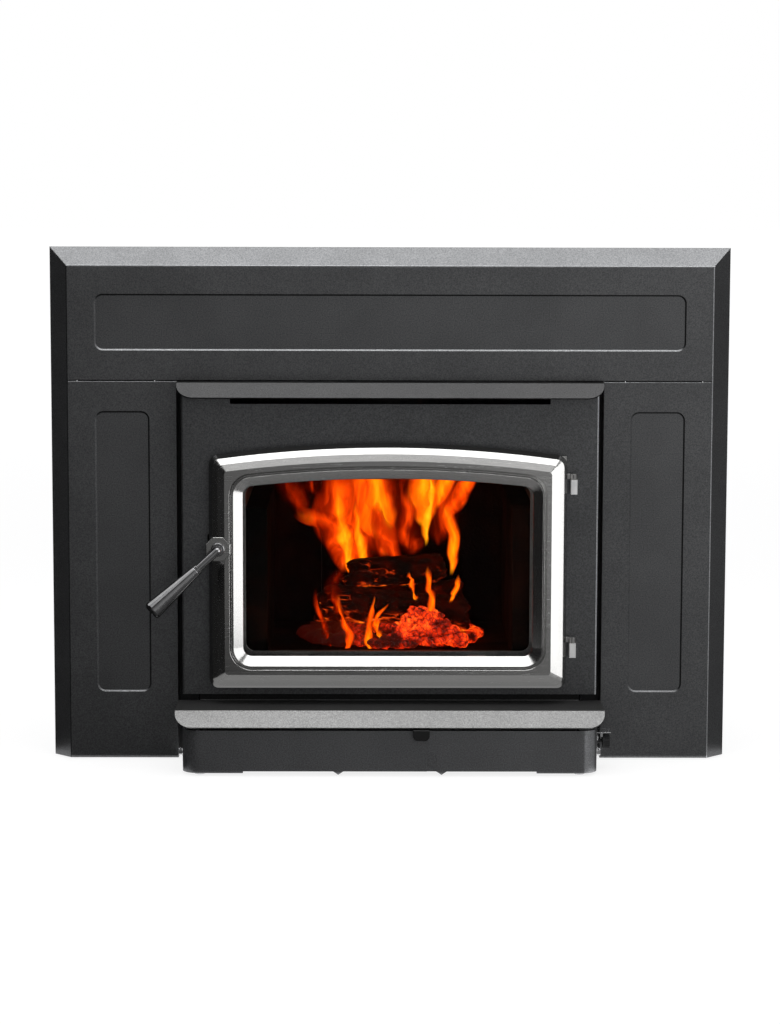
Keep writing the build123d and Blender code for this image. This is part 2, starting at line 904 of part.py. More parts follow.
def hearth_sill():
    """Raised sill with air holes between the mouth and the floor bricks."""
    y = (front_back_y, duct_front + duct_depth)
    foot = floor_top + duct_wall
    sill = block(-firebox_half, firebox_half, *y, foot, hearth_top)
    sill = chamfer(edges_at(sill, Axis.X, Z=hearth_top), sill_edge)
    chamber_top = hearth_top - 3 * duct_wall
    port = (control_x - port_width, control_x + port_width)
    chamber = (duct_front + duct_wall, duct_front + duct_depth - duct_wall)
    sill -= block(*port, *chamber, floor_top, chamber_top)
    for step in range(sill_holes):
        x = control_x + (step - (sill_holes - 1) / 2) * port_width / 4
        start = (x, duct_front + duct_depth / 2, chamber_top)
        sill -= rod(start, (0, 0, 1), tube_hole_radius, brick_thickness)
    leg = block(firebox_half - stand_size, firebox_half, *y, floor_top, foot)
    return sill + leg + mirrored(leg)


def tube_places():
    """Depths of the secondary air tubes."""
    first = firebox_back_y - brick_thickness - baffle_depth + 2 * tube_radius
    pitch = (baffle_depth - 4 * tube_radius) / tube_count
    return [first + pitch * step for step in range(tube_count)]


def air_tubes():
    """Perforated tubes that carry the baffle."""
    tubes = []
    count = int(firebox_inner_width / tube_hole_pitch) - 2
    for y in tube_places():
        start = (-firebox_half, y, tube_z)
        tube = rod(start, (1, 0, 0), tube_radius, firebox_inner_width)
        tube -= rod(start, (1, 0, 0), tube_radius - tube_wall, firebox_inner_width)
        for step in range(count):
            x = (step - (count - 1) / 2) * tube_hole_pitch
            tube -= rod((x, y, tube_z), (0, -1, 0), tube_hole_radius, 2 * tube_radius)
        tubes.append(tube)
    return group(tubes)


def baffle_board():
    """Insulating board over the air tubes."""
    back = firebox_back_y
    front = firebox_back_y - brick_thickness - baffle_depth
    top = baffle_bottom + baffle_thickness
    return block(-firebox_half, firebox_half, front, back, baffle_bottom, top)


# ---- Air intake and its control --------------------------------------------------------------
duct_left = control_x - shutter_width / 2 - control_left - 2 * rail_ledge
duct_right = control_x + shutter_width / 2 + control_right + 2 * rail_ledge
rail_bottom = bar_bottom - rail_gap - rail_steel


def air_port(z0, z1):
    """Straight passage of the combustion air between two heights."""
    x = (control_x - port_width / 2, control_x + port_width / 2)
    middle = duct_front + duct_depth / 2
    return block(*x, middle - port_depth / 2, middle + port_depth / 2, z0, z1)


def air_duct():
    """Box under the firebox floor, with two rails that hold the shutter."""
    top = floor_top - firebox_steel
    back = duct_front + duct_depth
    w = duct_wall
    duct = block(duct_left, duct_right, duct_front, back, duct_bottom, top)
    duct -= block(duct_left + w, duct_right - w, duct_front + w, back - w, duct_bottom + w, top)
    duct -= air_port(duct_bottom, duct_bottom + w)
    post = rail_ledge
    for y in (duct_front, back - rail_ledge):
        duct += block(duct_left, duct_right, y, y + rail_ledge, rail_bottom, rail_bottom + rail_steel)
        duct += block(duct_left, duct_left + post, y, y + rail_ledge, rail_bottom, duct_bottom)
        duct += block(duct_right - post, duct_right, y, y + rail_ledge, rail_bottom, duct_bottom)
    return duct


def air_control_bar():
    """Flat bar from the knob to the shutter, which slides under the duct."""
    half = bar_width / 2
    middle = duct_front + duct_depth / 2
    front = knob_back
    bar = block(control_x - half, control_x + half, front, middle, bar_bottom, bar_top)
    side = shutter_width / 2
    y = (middle - shutter_depth / 2 - rail_ledge / 2, middle + shutter_depth / 2 + rail_ledge / 2)
    bar += block(control_x - side, control_x + side, *y, bar_bottom, bar_top)
    tab = (front, front + bar_steel - bar_gap)
    return bar + block(control_x - half, control_x + half, *tab, bar_top - knob_height / 2, bar_top)


def air_control_knob():
    """Rounded thumb piece on the front of the bar."""
    outline = Pos(control_x, bar_top - knob_height / 2) * Rectangle(knob_width, knob_height)
    low = outline.vertices().group_by(Axis.Y)[0]
    outline = fillet(low, knob_corner)
    knob = front_prism(outline, knob_back - knob_depth, knob_back)
    front = knob.faces().sort_by(Axis.Y)[0]
    return fillet(front.edges(), knob_round)


# ---- Blower housing --------------------------------------------------------------------------
def housing_outline(inset):
    """Plan of the housing, moved inward, with its front corners rounded."""
    half = housing_half - inset
    front, back = housing_front + inset, front_y
    outline = polygon([(-half, front), (half, front), (half, back), (-half, back)])
    corners = outline.vertices().group_by(Axis.Y)[0]
    return fillet(corners, housing_corner - inset)


def blower_housing():
    """Wrapped sheet round the blower, under the ash lip."""
    top = ash_lip_top - ash_lip_steel - 2 * bar_gap
    low = housing_foot + housing_raise - toe_drop
    shell = plan_prism(housing_outline(0), low, top)
    shell -= plan_prism(housing_outline(housing_steel), low, top)
    half = housing_half + housing_flange
    strip = block(-half, half, front_y - housing_steel, front_y, low, top)
    inner = housing_half - housing_steel
    shell += strip - block(-inner, inner, front_y - housing_steel, front_y, low, top)
    step = housing_corner - housing_steel
    front = housing_front - cut_spare
    shell -= side_prism([
        (front, housing_top),
        (housing_front + step - housing_ramp, housing_top),
        (housing_front + step, top + cut_spare),
        (front, top + cut_spare),
    ], -housing_half, housing_half)
    shell -= front_prism(housing_bottom_waste(), front, front_y)
    shell += housing_ear() + mirrored(housing_ear())
    hole = clamp_hole()
    shell -= hole + mirrored(hole)
    for place in plate_screws():
        shell -= screw_hole(*place, (1, 0, 0), plate_steel + housing_steel)
    shell -= rod((0, speed_y, speed_z), (1, 0, 0), speed_bush_radius + screw_hole_play, housing_half)
    return shell - inlet_cutout() - housing_dimple()


def housing_bottom_waste():
    """What the bottom edge lacks: the raised middle, but for two small toes."""
    raised = housing_foot + housing_raise
    low = raised - toe_drop - cut_spare
    edge = housing_half + housing_flange + cut_spare
    middle = housing_raised_width / 2
    points = [(-edge, low), (-edge, housing_foot), (-middle, housing_foot), (-middle, raised)]
    for side in (-1, 1):
        toe = side * toe_spacing / 2
        points += [(toe - toe_width / 2, raised), (toe, raised - toe_drop), (toe + toe_width / 2, raised)]
    points += [(middle, raised), (middle, housing_foot), (edge, housing_foot), (edge, low)]
    return polygon(points)


def housing_dimple():
    """Sunken tab in the front of the housing."""
    bottom = housing_foot
    top = bottom + housing_raise + dimple_height
    x = (dimple_left, dimple_left + dimple_width)
    return block(*x, housing_front, housing_front + dimple_depth, bottom, top)


clamp_y = housing_front + housing_corner + ear_setback + ear_width / 2


def housing_ear():
    """Right-hand ear that stands on the base pan and takes the clamp bolt."""
    x1 = housing_half - housing_steel
    y = (clamp_y - ear_width / 2, clamp_y + ear_width / 2)
    ear = block(x1 - housing_steel, x1, *y, base_top, base_top + ear_height)
    return ear + block(x1 - ear_reach, x1, *y, base_top, base_top + housing_steel)


def clamp_hole():
    """Hole for the right-hand clamp bolt."""
    return rod((0, clamp_y, clamp_height), (1, 0, 0), clamp_radius + screw_hole_play, housing_half)


def clamp_bolt():
    """Right-hand bolt with a washer and a hexagonal head."""
    start = (housing_half, clamp_y, clamp_height)
    bolt = rod(start, (1, 0, 0), clamp_washer, clamp_washer_steel)
    head = Plane(origin=start, z_dir=(1, 0, 0)) * RegularPolygon(clamp_head_radius, 6)
    bolt += extrude(head, clamp_washer_steel + clamp_head)
    return bolt + rod(start, (-1, 0, 0), clamp_radius, 3 * housing_steel)


# ---- Blower ----------------------------------------------------------------------------------
wheel_start = motor_length / 2 + motor_to_scroll
scroll_radius = wheel_radius + scroll_gap + scroll_steel
scroll_start = wheel_start - scroll_gap - scroll_steel
scroll_length = wheel_length + 2 * (scroll_gap + scroll_steel)


def fan_motor():
    """Motor between the two wheels."""
    start = (-motor_length / 2, fan_y, fan_axis_z)
    motor = rod(start, (1, 0, 0), motor_radius, motor_length)
    motor = fillet(motor.edges().filter_by(GeomType.CIRCLE), motor_round)
    return motor - rod(start, (1, 0, 0), fan_shaft_radius + fan_play, motor_length)


def fan_wheel():
    """Right-hand wheel: two rims and a hub disc joined by blades."""
    x0, x1 = wheel_start, wheel_start + wheel_length
    wheel = rod((x0, fan_y, fan_axis_z), (1, 0, 0), wheel_radius, wheel_disc)
    rim = rod((x1 - wheel_disc, fan_y, fan_axis_z), (1, 0, 0), wheel_radius, wheel_disc)
    rim -= rod((x1 - wheel_disc, fan_y, fan_axis_z), (1, 0, 0), wheel_radius - blade_depth, wheel_disc)
    wheel += rim
    middle = wheel_radius - blade_depth / 2
    blade = Box(wheel_length, blade_depth - 2 * blade_inset, blade_steel)
    for step in range(blade_count):
        turn = Rot(X=step * 360 / blade_count)
        wheel += Pos((x0 + x1) / 2, fan_y, fan_axis_z) * turn * Pos(0, middle, 0) * blade
    return wheel


def fan_rotor():
    """Shaft with a wheel at each end."""
    length = 2 * (wheel_start + wheel_disc)
    shaft = rod((-length / 2, fan_y, fan_axis_z), (1, 0, 0), fan_shaft_radius, length)
    wheel = fan_wheel()
    return shaft + wheel + mirrored(wheel)


def fan_scroll():
    """Casing round the right-hand wheel, blowing towards the firebox."""
    def casing(radius, x0, length, back, top, bottom):
        round_part = rod((x0, fan_y, fan_axis_z), (1, 0, 0), radius, length)
        return round_part + block(x0, x0 + length, fan_y, back, bottom, top)

    t = scroll_steel
    back = fan_y + scroll_outlet
    top = fan_axis_z + scroll_radius
    bottom = fan_axis_z
    shell = casing(scroll_radius, scroll_start, scroll_length, back, top, bottom)
    shell -= casing(scroll_radius - t, scroll_start + t, scroll_length - 2 * t, back, top - t, bottom + t)
    eye = rod((scroll_start, fan_y, fan_axis_z), (1, 0, 0), inlet_radius, scroll_length)
    return shell - eye


def fan_bracket():
    """Plate under the blower, with saddles for the motor and the scrolls."""
    end = scroll_start + scroll_length
    top = base_top + bracket_steel
    plate = block(-end, end, fan_y - scroll_radius, fan_y + scroll_radius, base_top, top)
    for x in (-motor_length / 4, motor_length / 4):
        x0 = x - saddle_steel / 2
        y = (fan_y - motor_radius / 2, fan_y + motor_radius / 2)
        plate += block(x0, x0 + saddle_steel, *y, top, fan_axis_z)
    plate -= rod((-motor_length / 2, fan_y, fan_axis_z), (1, 0, 0), motor_radius, motor_length)
    y = (fan_y - scroll_pad_depth / 2, fan_y + scroll_pad_depth / 2)
    pad = block(scroll_start, end, *y, top, fan_axis_z)
    pad -= rod((scroll_start, fan_y, fan_axis_z), (1, 0, 0), scroll_radius, scroll_length)
    return plate + pad + mirrored(pad)


# ---- Fan speed control and power inlet -------------------------------------------------------
def plate_screws():
    """Screws that hold the control plate to the housing."""
    x = housing_half + plate_steel
    y = speed_y - plate_length / 2 + screw_head_radius + plate_screw_margin
    bottom = speed_z - plate_height / 2 + screw_head_radius + plate_screw_margin
    return [(x, y, bottom), (x, y, bottom + plate_screw_pitch)]


def control_plate():
    """Plated bracket on the right-hand side of the housing, with a guard over the knob."""
    x = housing_half
    y = (speed_y - plate_length / 2, speed_y + plate_length / 2)
    bottom, top = speed_z - plate_height / 2, speed_z + plate_height / 2
    plate = block(x, x + plate_steel, *y, bottom, top)
    plate += block(x, x + plate_steel + guard_reach, *y, top - guard_steel, top)
    tab = x + plate_steel + guard_tab_offset
    tab_bottom = top - guard_steel - guard_tab_drop
    plate += block(tab, tab + guard_tab_width, y[0], y[0] + guard_steel, tab_bottom, top)
    plate -= rod((x, speed_y, speed_z), (1, 0, 0), speed_bush_radius + screw_hole_play, plate_steel)
    for place in plate_screws():
        plate -= screw_hole(*place, (1, 0, 0), plate_steel)
    return plate


def speed_body():
    """Speed control inside the housing, with its bush and the shaft that the knob turns on."""
    x = housing_half - housing_steel
    half = speed_box / 2
    body = block(x - speed_box_length, x, speed_y - half, speed_y + half, speed_z - half, speed_z + half)
    body = fillet(body.edges().filter_by(Axis.X), speed_box_round)
    bush = housing_steel + plate_steel + speed_bush_length
    body += rod((x, speed_y, speed_z), (1, 0, 0), speed_bush_radius, bush)
    shaft = bush + speed_knob_gap + speed_bore_depth - speed_shaft_clear
    return body + rod((x, speed_y, speed_z), (1, 0, 0), speed_shaft_radius, shaft)


def speed_knob():
    """Round knob with grip flutes."""
    x = housing_half + plate_steel + speed_bush_length + speed_knob_gap
    knob = rod((x, speed_y, speed_z), (1, 0, 0), speed_knob_radius, speed_knob_length)
    knob = fillet(knob.faces().sort_by(Axis.X)[-1].edges(), speed_knob_round)
    for step in range(flute_count):
        angle = math.radians(step * 360 / flute_count)
        y = speed_y + speed_knob_radius * math.cos(angle)
        z = speed_z + speed_knob_radius * math.sin(angle)
        knob -= rod((x + flute_start, y, z), (1, 0, 0), flute_radius, speed_knob_length)
    return knob - rod((x, speed_y, speed_z), (1, 0, 0), speed_shaft_radius + fan_play, speed_bore_depth)


def inlet_cutout():
    """Opening for the power inlet in the left-hand side of the housing."""
    y = front_y - inlet_forward
    half_width = inlet_width / 2 + screw_hole_play
    half_height = inlet_height / 2 + screw_hole_play
    z = (speed_z - half_height, speed_z + half_height)
    return block(-housing_half, -housing_half + housing_steel, y - half_width, y + half_width, *z)


def power_inlet():
    """Panel socket with two blades in its recess."""
    x = -housing_half
    y = front_y - inlet_forward
    half_width, half_height = inlet_width / 2, inlet_height / 2
    z = (speed_z - half_height, speed_z + half_height)
    body = block(x, x + inlet_depth, y - half_width, y + half_width, *z)
    rim = block(x - inlet_rim_steel, x, y - half_width - inlet_rim, y + half_width + inlet_rim,
                z[0] - inlet_rim, z[1] + inlet_rim)
    body += fillet(rim.edges().filter_by(Axis.X), inlet_rim)
    inner = (y - half_width + inlet_wall, y + half_width - inlet_wall)
    body -= block(x - inlet_rim_steel, x + inlet_recess, *inner, z[0] + inlet_wall, z[1] - inlet_wall)
    for side in (-1, 1):
        middle = speed_z + side * blade_spacing / 2
        blade = (middle - blade_steel_inlet / 2, middle + blade_steel_inlet / 2)
        body += block(x, x + inlet_recess, y - blade_width / 2, y + blade_width / 2, *blade)
    return body


# ---- Door ------------------------------------------------------------------------------------
def bevelled_slab():
    """Outside of the door casting, with its rounded bevel."""
    slab = arch_prism(0, door_corner, door_back - door_edge, door_back)
    depth = door_thickness - door_edge
    rings = []
    for angle in (0, 30, 60, 90):
        turn = math.radians(angle)
        straight = (1 - bevel_fullness) * angle / 90
        inset = door_bevel * (bevel_fullness * (1 - math.cos(turn)) + straight)
        rise = depth * (bevel_fullness * math.sin(turn) + straight)
        corner = door_corner - inset * bevel_corner_share
        rings.append(facing(door_back - door_edge - rise) * arch(inset, corner))
    for outer, inner in zip(rings, rings[1:]):
        slab += loft([outer, inner], ruled=True)
    return slab


def latch_axis(y_front, radius, length):
    """Round bar on the latch axis, from a depth towards the back."""
    return rod((latch_x, y_front, latch_height), (0, 1, 0), radius, length)


def boss_outline():
    """Octagon round the latch axis."""
    turned = Rot(0, 0, 22.5) * RegularPolygon(boss_across / 2, 8, major_radius=False)
    return Pos(latch_x, latch_height) * turned


def door_groove():
    """V-shaped groove round the mouth of the casting."""
    def wall(top, bottom):
        return loft([
            facing(door_front) * arch(top, glass_corner(top)),
            facing(door_front + groove_depth) * arch(bottom, glass_corner(bottom)),
        ], ruled=True)

    middle = groove_inset + groove_width / 2
    outside = wall(groove_inset, middle - groove_floor / 2)
    return outside - wall(groove_inset + groove_width, middle + groove_floor / 2)


def door_frame():
    """Arched casting: bevel, flat, groove, chamfer to the glass, and pockets behind."""
    frame = bevelled_slab()
    frame -= door_groove()
    near = groove_inset + groove_width
    mouth = [
        facing(door_front) * arch(near, glass_corner(near)),
        facing(seat_y) * arch(glass_inset, door_corner_glass),
    ]
    frame -= loft(mouth, ruled=True)
    pocket = glass_inset - glass_lap - glass_play
    frame -= arch_prism(pocket, glass_corner(pocket), seat_y, door_back)
    rope_end = rope_inset + rope_width
    frame -= arch_ring(rope_inset - rope_play, rope_end + rope_play, door_back - rope_channel, door_back)
    frame -= front_prism(boss_outline(), door_front - cut_spare, boss_back)
    frame -= latch_axis(door_front, shaft_radius + shaft_play, door_thickness)
    for x, z in clip_places():
        frame -= clip_screw_hole(x, z)
    return frame


def door_glass():
    """Heat-proof glass behind the casting's seat."""
    inset = glass_inset - glass_lap
    return arch_prism(inset, glass_corner(inset), glass_front, glass_back)


def glass_tape():
    """Flat gasket between the glass and its seat."""
    outer = glass_inset - glass_lap
    return arch_ring(outer, outer + tape_width, seat_y, glass_front)


def door_rope():
    """Rope gasket in the channel behind the casting."""
    return arch_ring(rope_inset, rope_inset + rope_width, door_back - rope_channel, front_y - rope_play)


def latch_boss():
    """Octagonal boss that the handle's shaft turns in."""
    boss = front_prism(boss_outline(), boss_front, boss_back)
    front = boss.faces().sort_by(Axis.Y)[0]
    boss = fillet(front.edges(), boss_round)
    return boss - latch_axis(boss_front, shaft_radius + shaft_play, door_thickness)


clip_land = (rope_inset + rope_width + glass_inset - glass_lap) / 2  # screw line, from the edge


def clip_places():
    """Screw places of the glass clips below and above the glass."""
    spread = door_half / 2
    low = door_bottom + clip_land
    arc_radius = door_arch_radius - clip_land
    high = door_top - clip_land - arc_radius + math.sqrt(arc_radius**2 - spread**2)
    return [(door_centre_x + side * spread, z) for z in (low, high) for side in (-1, 1)]


def clip_screw_hole(x, z):
    """Hole in the casting for a clip screw."""
    return rod((x, door_back, z), (0, -1, 0), screw_radius, 2 * rope_channel)


def glass_clip(x, z):
    """Clip that holds the glass down; its foot points to the middle of the door."""
    inward = 1 if z < (door_bottom + door_top) / 2 else -1
    half = clip_width / 2
    outer = z - inward * (clip_land - rope_inset - rope_width - clip_to_rope)
    inner = z + inward * (glass_inset - clip_land - clip_to_glass)
    foot = inner - inward * clip_foot
    plate = block(x - half, x + half, door_back, door_back + clip_steel, *sorted((outer, inner)))
    plate += block(x - half, x + half, glass_back, door_back, *sorted((foot, inner)))
    return plate - rod((x, door_back, z), (0, 1, 0), screw_radius + screw_hole_play, clip_steel)


def glass_clips():
    """All the clips."""
    return group([glass_clip(x, z) for x, z in clip_places()])


def clip_screws():
    """A screw through every clip."""
    back = door_back + clip_steel
    return group([screw(x, back, z, (0, 1, 0), clip_steel + rope_channel) for x, z in clip_places()])


# ---- Hinges ----------------------------------------------------------------------------------
def hinge_lug(bottom):
    """Lug on the front plate that carries a hinge pin."""
    half = lug_width / 2
    lug = block(hinge_x - half, hinge_x + half, hinge_y - lug_nose, front_y, bottom, bottom + lug_height)
    lug = fillet(edges_at(lug, Axis.Z, Y=hinge_y - lug_nose), lug_round)
    return lug - rod((hinge_x, hinge_y, bottom), (0, 0, 1), pin_radius, lug_height)


def hinge_pin(bottom):
    """Pin that stands up from a lug."""
    length = lug_height + knuckle_gap + knuckle_height
    return rod((hinge_x, hinge_y, bottom), (0, 0, 1), pin_radius, length)


def hinge_arm(bottom):
    """Door half of a hinge: a plate behind the casting and a knuckle round the pin."""
    z = bottom + lug_height + knuckle_gap
    edge = door_centre_x + door_half
    y = (door_back, door_back + arm_steel)
    arm = block(edge - arm_length, hinge_x, *y, z, z + knuckle_height)
    arm += block(edge - arm_length, edge - arm_setback, *y, z, z + arm_height)
    arm += rod((hinge_x, hinge_y, z), (0, 0, 1), knuckle_radius, knuckle_height)
    return arm - rod((hinge_x, hinge_y, z), (0, 0, 1), pin_radius + pin_play, arm_height)


def hinge_set(maker):
    """The low and the high one of a hinge piece."""
    return group([maker(hinge_low), maker(hinge_high)])


# ---- Latch and handle ------------------------------------------------------------------------
cam_front = front_back_y + strike_steel + cam_gap
cam_back = cam_front + cam_thickness


def handle_direction():
    """Direction of the rod from the hub: down to the left and towards the viewer."""
    fall, splay = math.radians(rod_fall), math.radians(rod_splay)
    level = math.cos(splay)
    return (-math.cos(fall) * level, -math.sin(splay), -math.sin(fall) * level)


def along_handle(distance):
    """Point on the rod at a distance from the latch axis."""
    start = (latch_x, rod_y, latch_height)
    return tuple(s + d * distance for s, d in zip(start, handle_direction()))


def handle_rod():
    """Shaft through the boss, hub, bent rod, collar and the tang inside the grip."""
    hub_back = boss_front - hub_gap
    shaft = latch_axis(rod_y, shaft_radius, cam_front - rod_y)
    shaft += latch_axis(cam_front, tail_radius, cam_thickness)
    hub = latch_axis(hub_back - hub_length, hub_radius, hub_length)
    shaft += fillet(hub.edges(), hub_round)
    shaft += Pos(latch_x, rod_y, latch_height) * Sphere(shaft_radius)
    shaft += rod(along_handle(0), handle_direction(), shaft_radius, rod_length)
    collar = along_handle(rod_length - collar_length)
    shaft += rod(collar, handle_direction(), collar_radius, collar_length)
    return shaft + rod(along_handle(rod_length), handle_direction(), tang_radius, tang_length)


def handle_grip():
    """Tapered grip with a rounded end."""
    along = (Align.CENTER, Align.CENTER, Align.MIN)
    grip = Cone(grip_start_radius, grip_end_radius, grip_length, align=along)
    ends = grip.edges().filter_by(GeomType.CIRCLE).sort_by(Axis.Z)
    grip = fillet(ends[-1], grip_end_round)
    ends = grip.edges().filter_by(GeomType.CIRCLE).sort_by(Axis.Z)
    grip = fillet(ends[0], grip_start_round)
    grip -= Cylinder(tang_radius, tang_length, align=along)
    return Plane(origin=along_handle(rod_length), z_dir=handle_direction()) * grip


def latch_cam():
    """Cam on the rear end of the shaft; its nose points to the left at rest."""
    cam = latch_axis(cam_front, cam_hub, cam_thickness)
    half = cam_width / 2
    z = (latch_height - half, latch_height + half)
    cam += block(latch_x - cam_reach, latch_x, cam_front, cam_back, *z)
    return cam - latch_axis(cam_front, tail_radius, cam_thickness)


def latch_strike():
    """Hardened plate behind the front plate that the cam's nose draws against."""
    right = latch_x - cam_hub - cam_gap
    top = latch_height - cam_width / 2 - cam_gap
    y = (front_back_y, front_back_y + strike_steel)
    return block(right - strike_width, right, *y, top - strike_height, top)


# ---- Fire ------------------------------------------------------------------------------------
def ember_bed():
    """Heap of embers on the floor bricks."""
    half, depth = ember_width / 2, ember_depth / 2
    y = (fire_y - depth, fire_y + depth)
    heap = block(fire_x - half, fire_x + half, *y, hearth_top, hearth_top + ember_height)
    return chamfer(heap.faces().sort_by(Axis.Z)[-1].edges(), ember_edge)


def burning_logs():
    """Two logs side by side and a shorter one across them."""
    low_z = hearth_top + ember_height + log_radius + log_gap
    logs = []
    for side in (-1, 1):
        y = fire_y + side * log_spacing / 2
        log = rod((fire_x - log_length / 2, y, low_z), (1, 0, 0), log_radius, log_length)
        logs.append(chamfer(log.edges().filter_by(GeomType.CIRCLE), log_edge))
    top_z = low_z + log_radius + top_log_radius + log_gap
    turn = math.radians(top_log_turn)
    step = (math.cos(turn), math.sin(turn), 0)
    half = top_log_length / 2
    start = (fire_x - step[0] * half, fire_y - step[1] * half, top_z)
    top = rod(start, step, top_log_radius, top_log_length)
    logs.append(chamfer(top.edges().filter_by(GeomType.CIRCLE), log_edge))
    return group(logs)


# ---- Every node ------------------------------------------------------------------------------
def both(part):
    """A piece and its mirror image in one node."""
    return group([part, mirrored(part)])


def make_nodes():
    """Every sub-part by its name, before the move along Y."""
    return {
        "surround_right_panel": side_panel(),
        "surround_left_panel": mirrored(side_panel()),
        "surround_top_panel": top_panel(),
        "border_right": side_border(),
        "border_left": mirrored(side_border()),
        "border_top": top_border(),
        "surround_brackets": surround_brackets(),
        "sheet_screws": sheet_screws(),
        "front_plate": front_plate(),
        "top_lip": top_lip(),
        "ash_lip": ash_lip(),
        "ash_lip_gussets": both(ash_lip_gusset()),
        "jacket_right": jacket_side(),
        "jacket_left": mirrored(jacket_side()),
        "jacket_back": jacket_back(),
        "jacket_top": jacket_top(),
        "base_pan": base_pan(),
        "levelling_bolts": levelling_bolts(),
        "firebox_right_wall": firebox_side(),
        "firebox_left_wall": mirrored(firebox_side()),
        "firebox_back_wall": firebox_back(),
        "firebox_floor": firebox_floor(),
        "firebox_top": firebox_top(),
        "flue_collar": flue_collar(),
        "floor_bricks": floor_bricks(),
        "right_bricks": side_bricks(),
        "left_bricks": mirrored(side_bricks()),
        "back_bricks": back_bricks(),
        "hearth_sill": hearth_sill(),
        "air_tubes": air_tubes(),
        "baffle_board": baffle_board(),
        "air_duct": air_duct(),
        "air_control_bar": air_control_bar(),
        "air_control_knob": air_control_knob(),
        "blower_housing": blower_housing(),
        "clamp_bolts": both(clamp_bolt()),
        "fan_motor": fan_motor(),
        "fan_rotor": fan_rotor(),
        "fan_scrolls": both(fan_scroll()),
        "fan_bracket": fan_bracket(),
        "control_plate": control_plate(),
        "speed_control": speed_body(),
        "speed_knob": speed_knob(),
        "power_inlet": power_inlet(),
        "door_frame": door_frame(),
        "door_glass": door_glass(),
        "glass_tape": glass_tape(),
        "door_rope": door_rope(),
        "latch_boss": latch_boss(),
        "glass_clips": glass_clips(),
        "clip_screws": clip_screws(),
        "hinge_lugs": hinge_set(hinge_lug),
        "hinge_pins": hinge_set(hinge_pin),
        "hinge_arms": hinge_set(hinge_arm),
        "handle_rod": handle_rod(),
        "handle_grip": handle_grip(),
        "latch_cam": latch_cam(),
        "latch_strike": latch_strike(),
        "ember_bed": ember_bed(),
        "burning_logs": burning_logs(),
    }


def middle_depth(nodes):
    """Y of the middle of the whole object."""
    boxes = [part.bounding_box() for part in nodes.values()]
    return (min(box.min.Y for box in boxes) + max(box.max.Y for box in boxes)) / 2


nodes = make_nodes()
shift = Pos(0, -middle_depth(nodes), 0)
os.makedirs("parts", exist_ok=True)
for name, part in nodes.items():
    export_step(shift * part, f"parts/{name}.step")
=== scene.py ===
import math
import random

import bmesh
import bpy
from mathutils import Matrix, Vector, noise


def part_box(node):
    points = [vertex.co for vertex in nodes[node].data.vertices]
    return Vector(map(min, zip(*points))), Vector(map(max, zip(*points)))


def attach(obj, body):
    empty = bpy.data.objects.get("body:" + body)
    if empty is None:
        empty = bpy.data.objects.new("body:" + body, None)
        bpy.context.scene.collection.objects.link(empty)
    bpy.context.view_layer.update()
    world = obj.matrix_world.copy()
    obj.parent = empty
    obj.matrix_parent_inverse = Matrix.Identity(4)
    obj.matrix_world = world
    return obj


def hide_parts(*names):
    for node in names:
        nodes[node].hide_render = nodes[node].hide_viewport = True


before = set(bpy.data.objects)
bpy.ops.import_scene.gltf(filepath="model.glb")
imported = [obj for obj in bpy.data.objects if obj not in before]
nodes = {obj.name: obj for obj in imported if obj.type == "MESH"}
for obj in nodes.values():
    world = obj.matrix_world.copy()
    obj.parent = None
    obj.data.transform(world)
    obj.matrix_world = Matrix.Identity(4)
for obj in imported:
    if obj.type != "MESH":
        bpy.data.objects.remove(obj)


bpy.context.view_layer.update()
scene = bpy.context.scene
scene.view_settings.view_transform = "Standard"


# ---- Node helpers --------------------------------------------------------------------------
BLACK = (0.0, 0.0, 0.0)
MIX_FACTOR, MIX_A, MIX_B, MIX_RESULT = 0, 6, 7, 2  # the Mix node's sockets for colours
BEVEL_SAMPLES = 4
FULL_SPECULAR = 0.5  # the Principled shader's own level
LEVEL_TOP = (0.78, 0.87)  # upward parts of the normal between which a face becomes a level top, painted darker as shade
EDGE_TURN = (0.02, 0.3)  # how far the rounded normal turns, from the flats to a worn edge
WHOLE = (0.0, 1.0)
NOISE_BAND = (0.3, 0.7)  # where most values of a noise lie


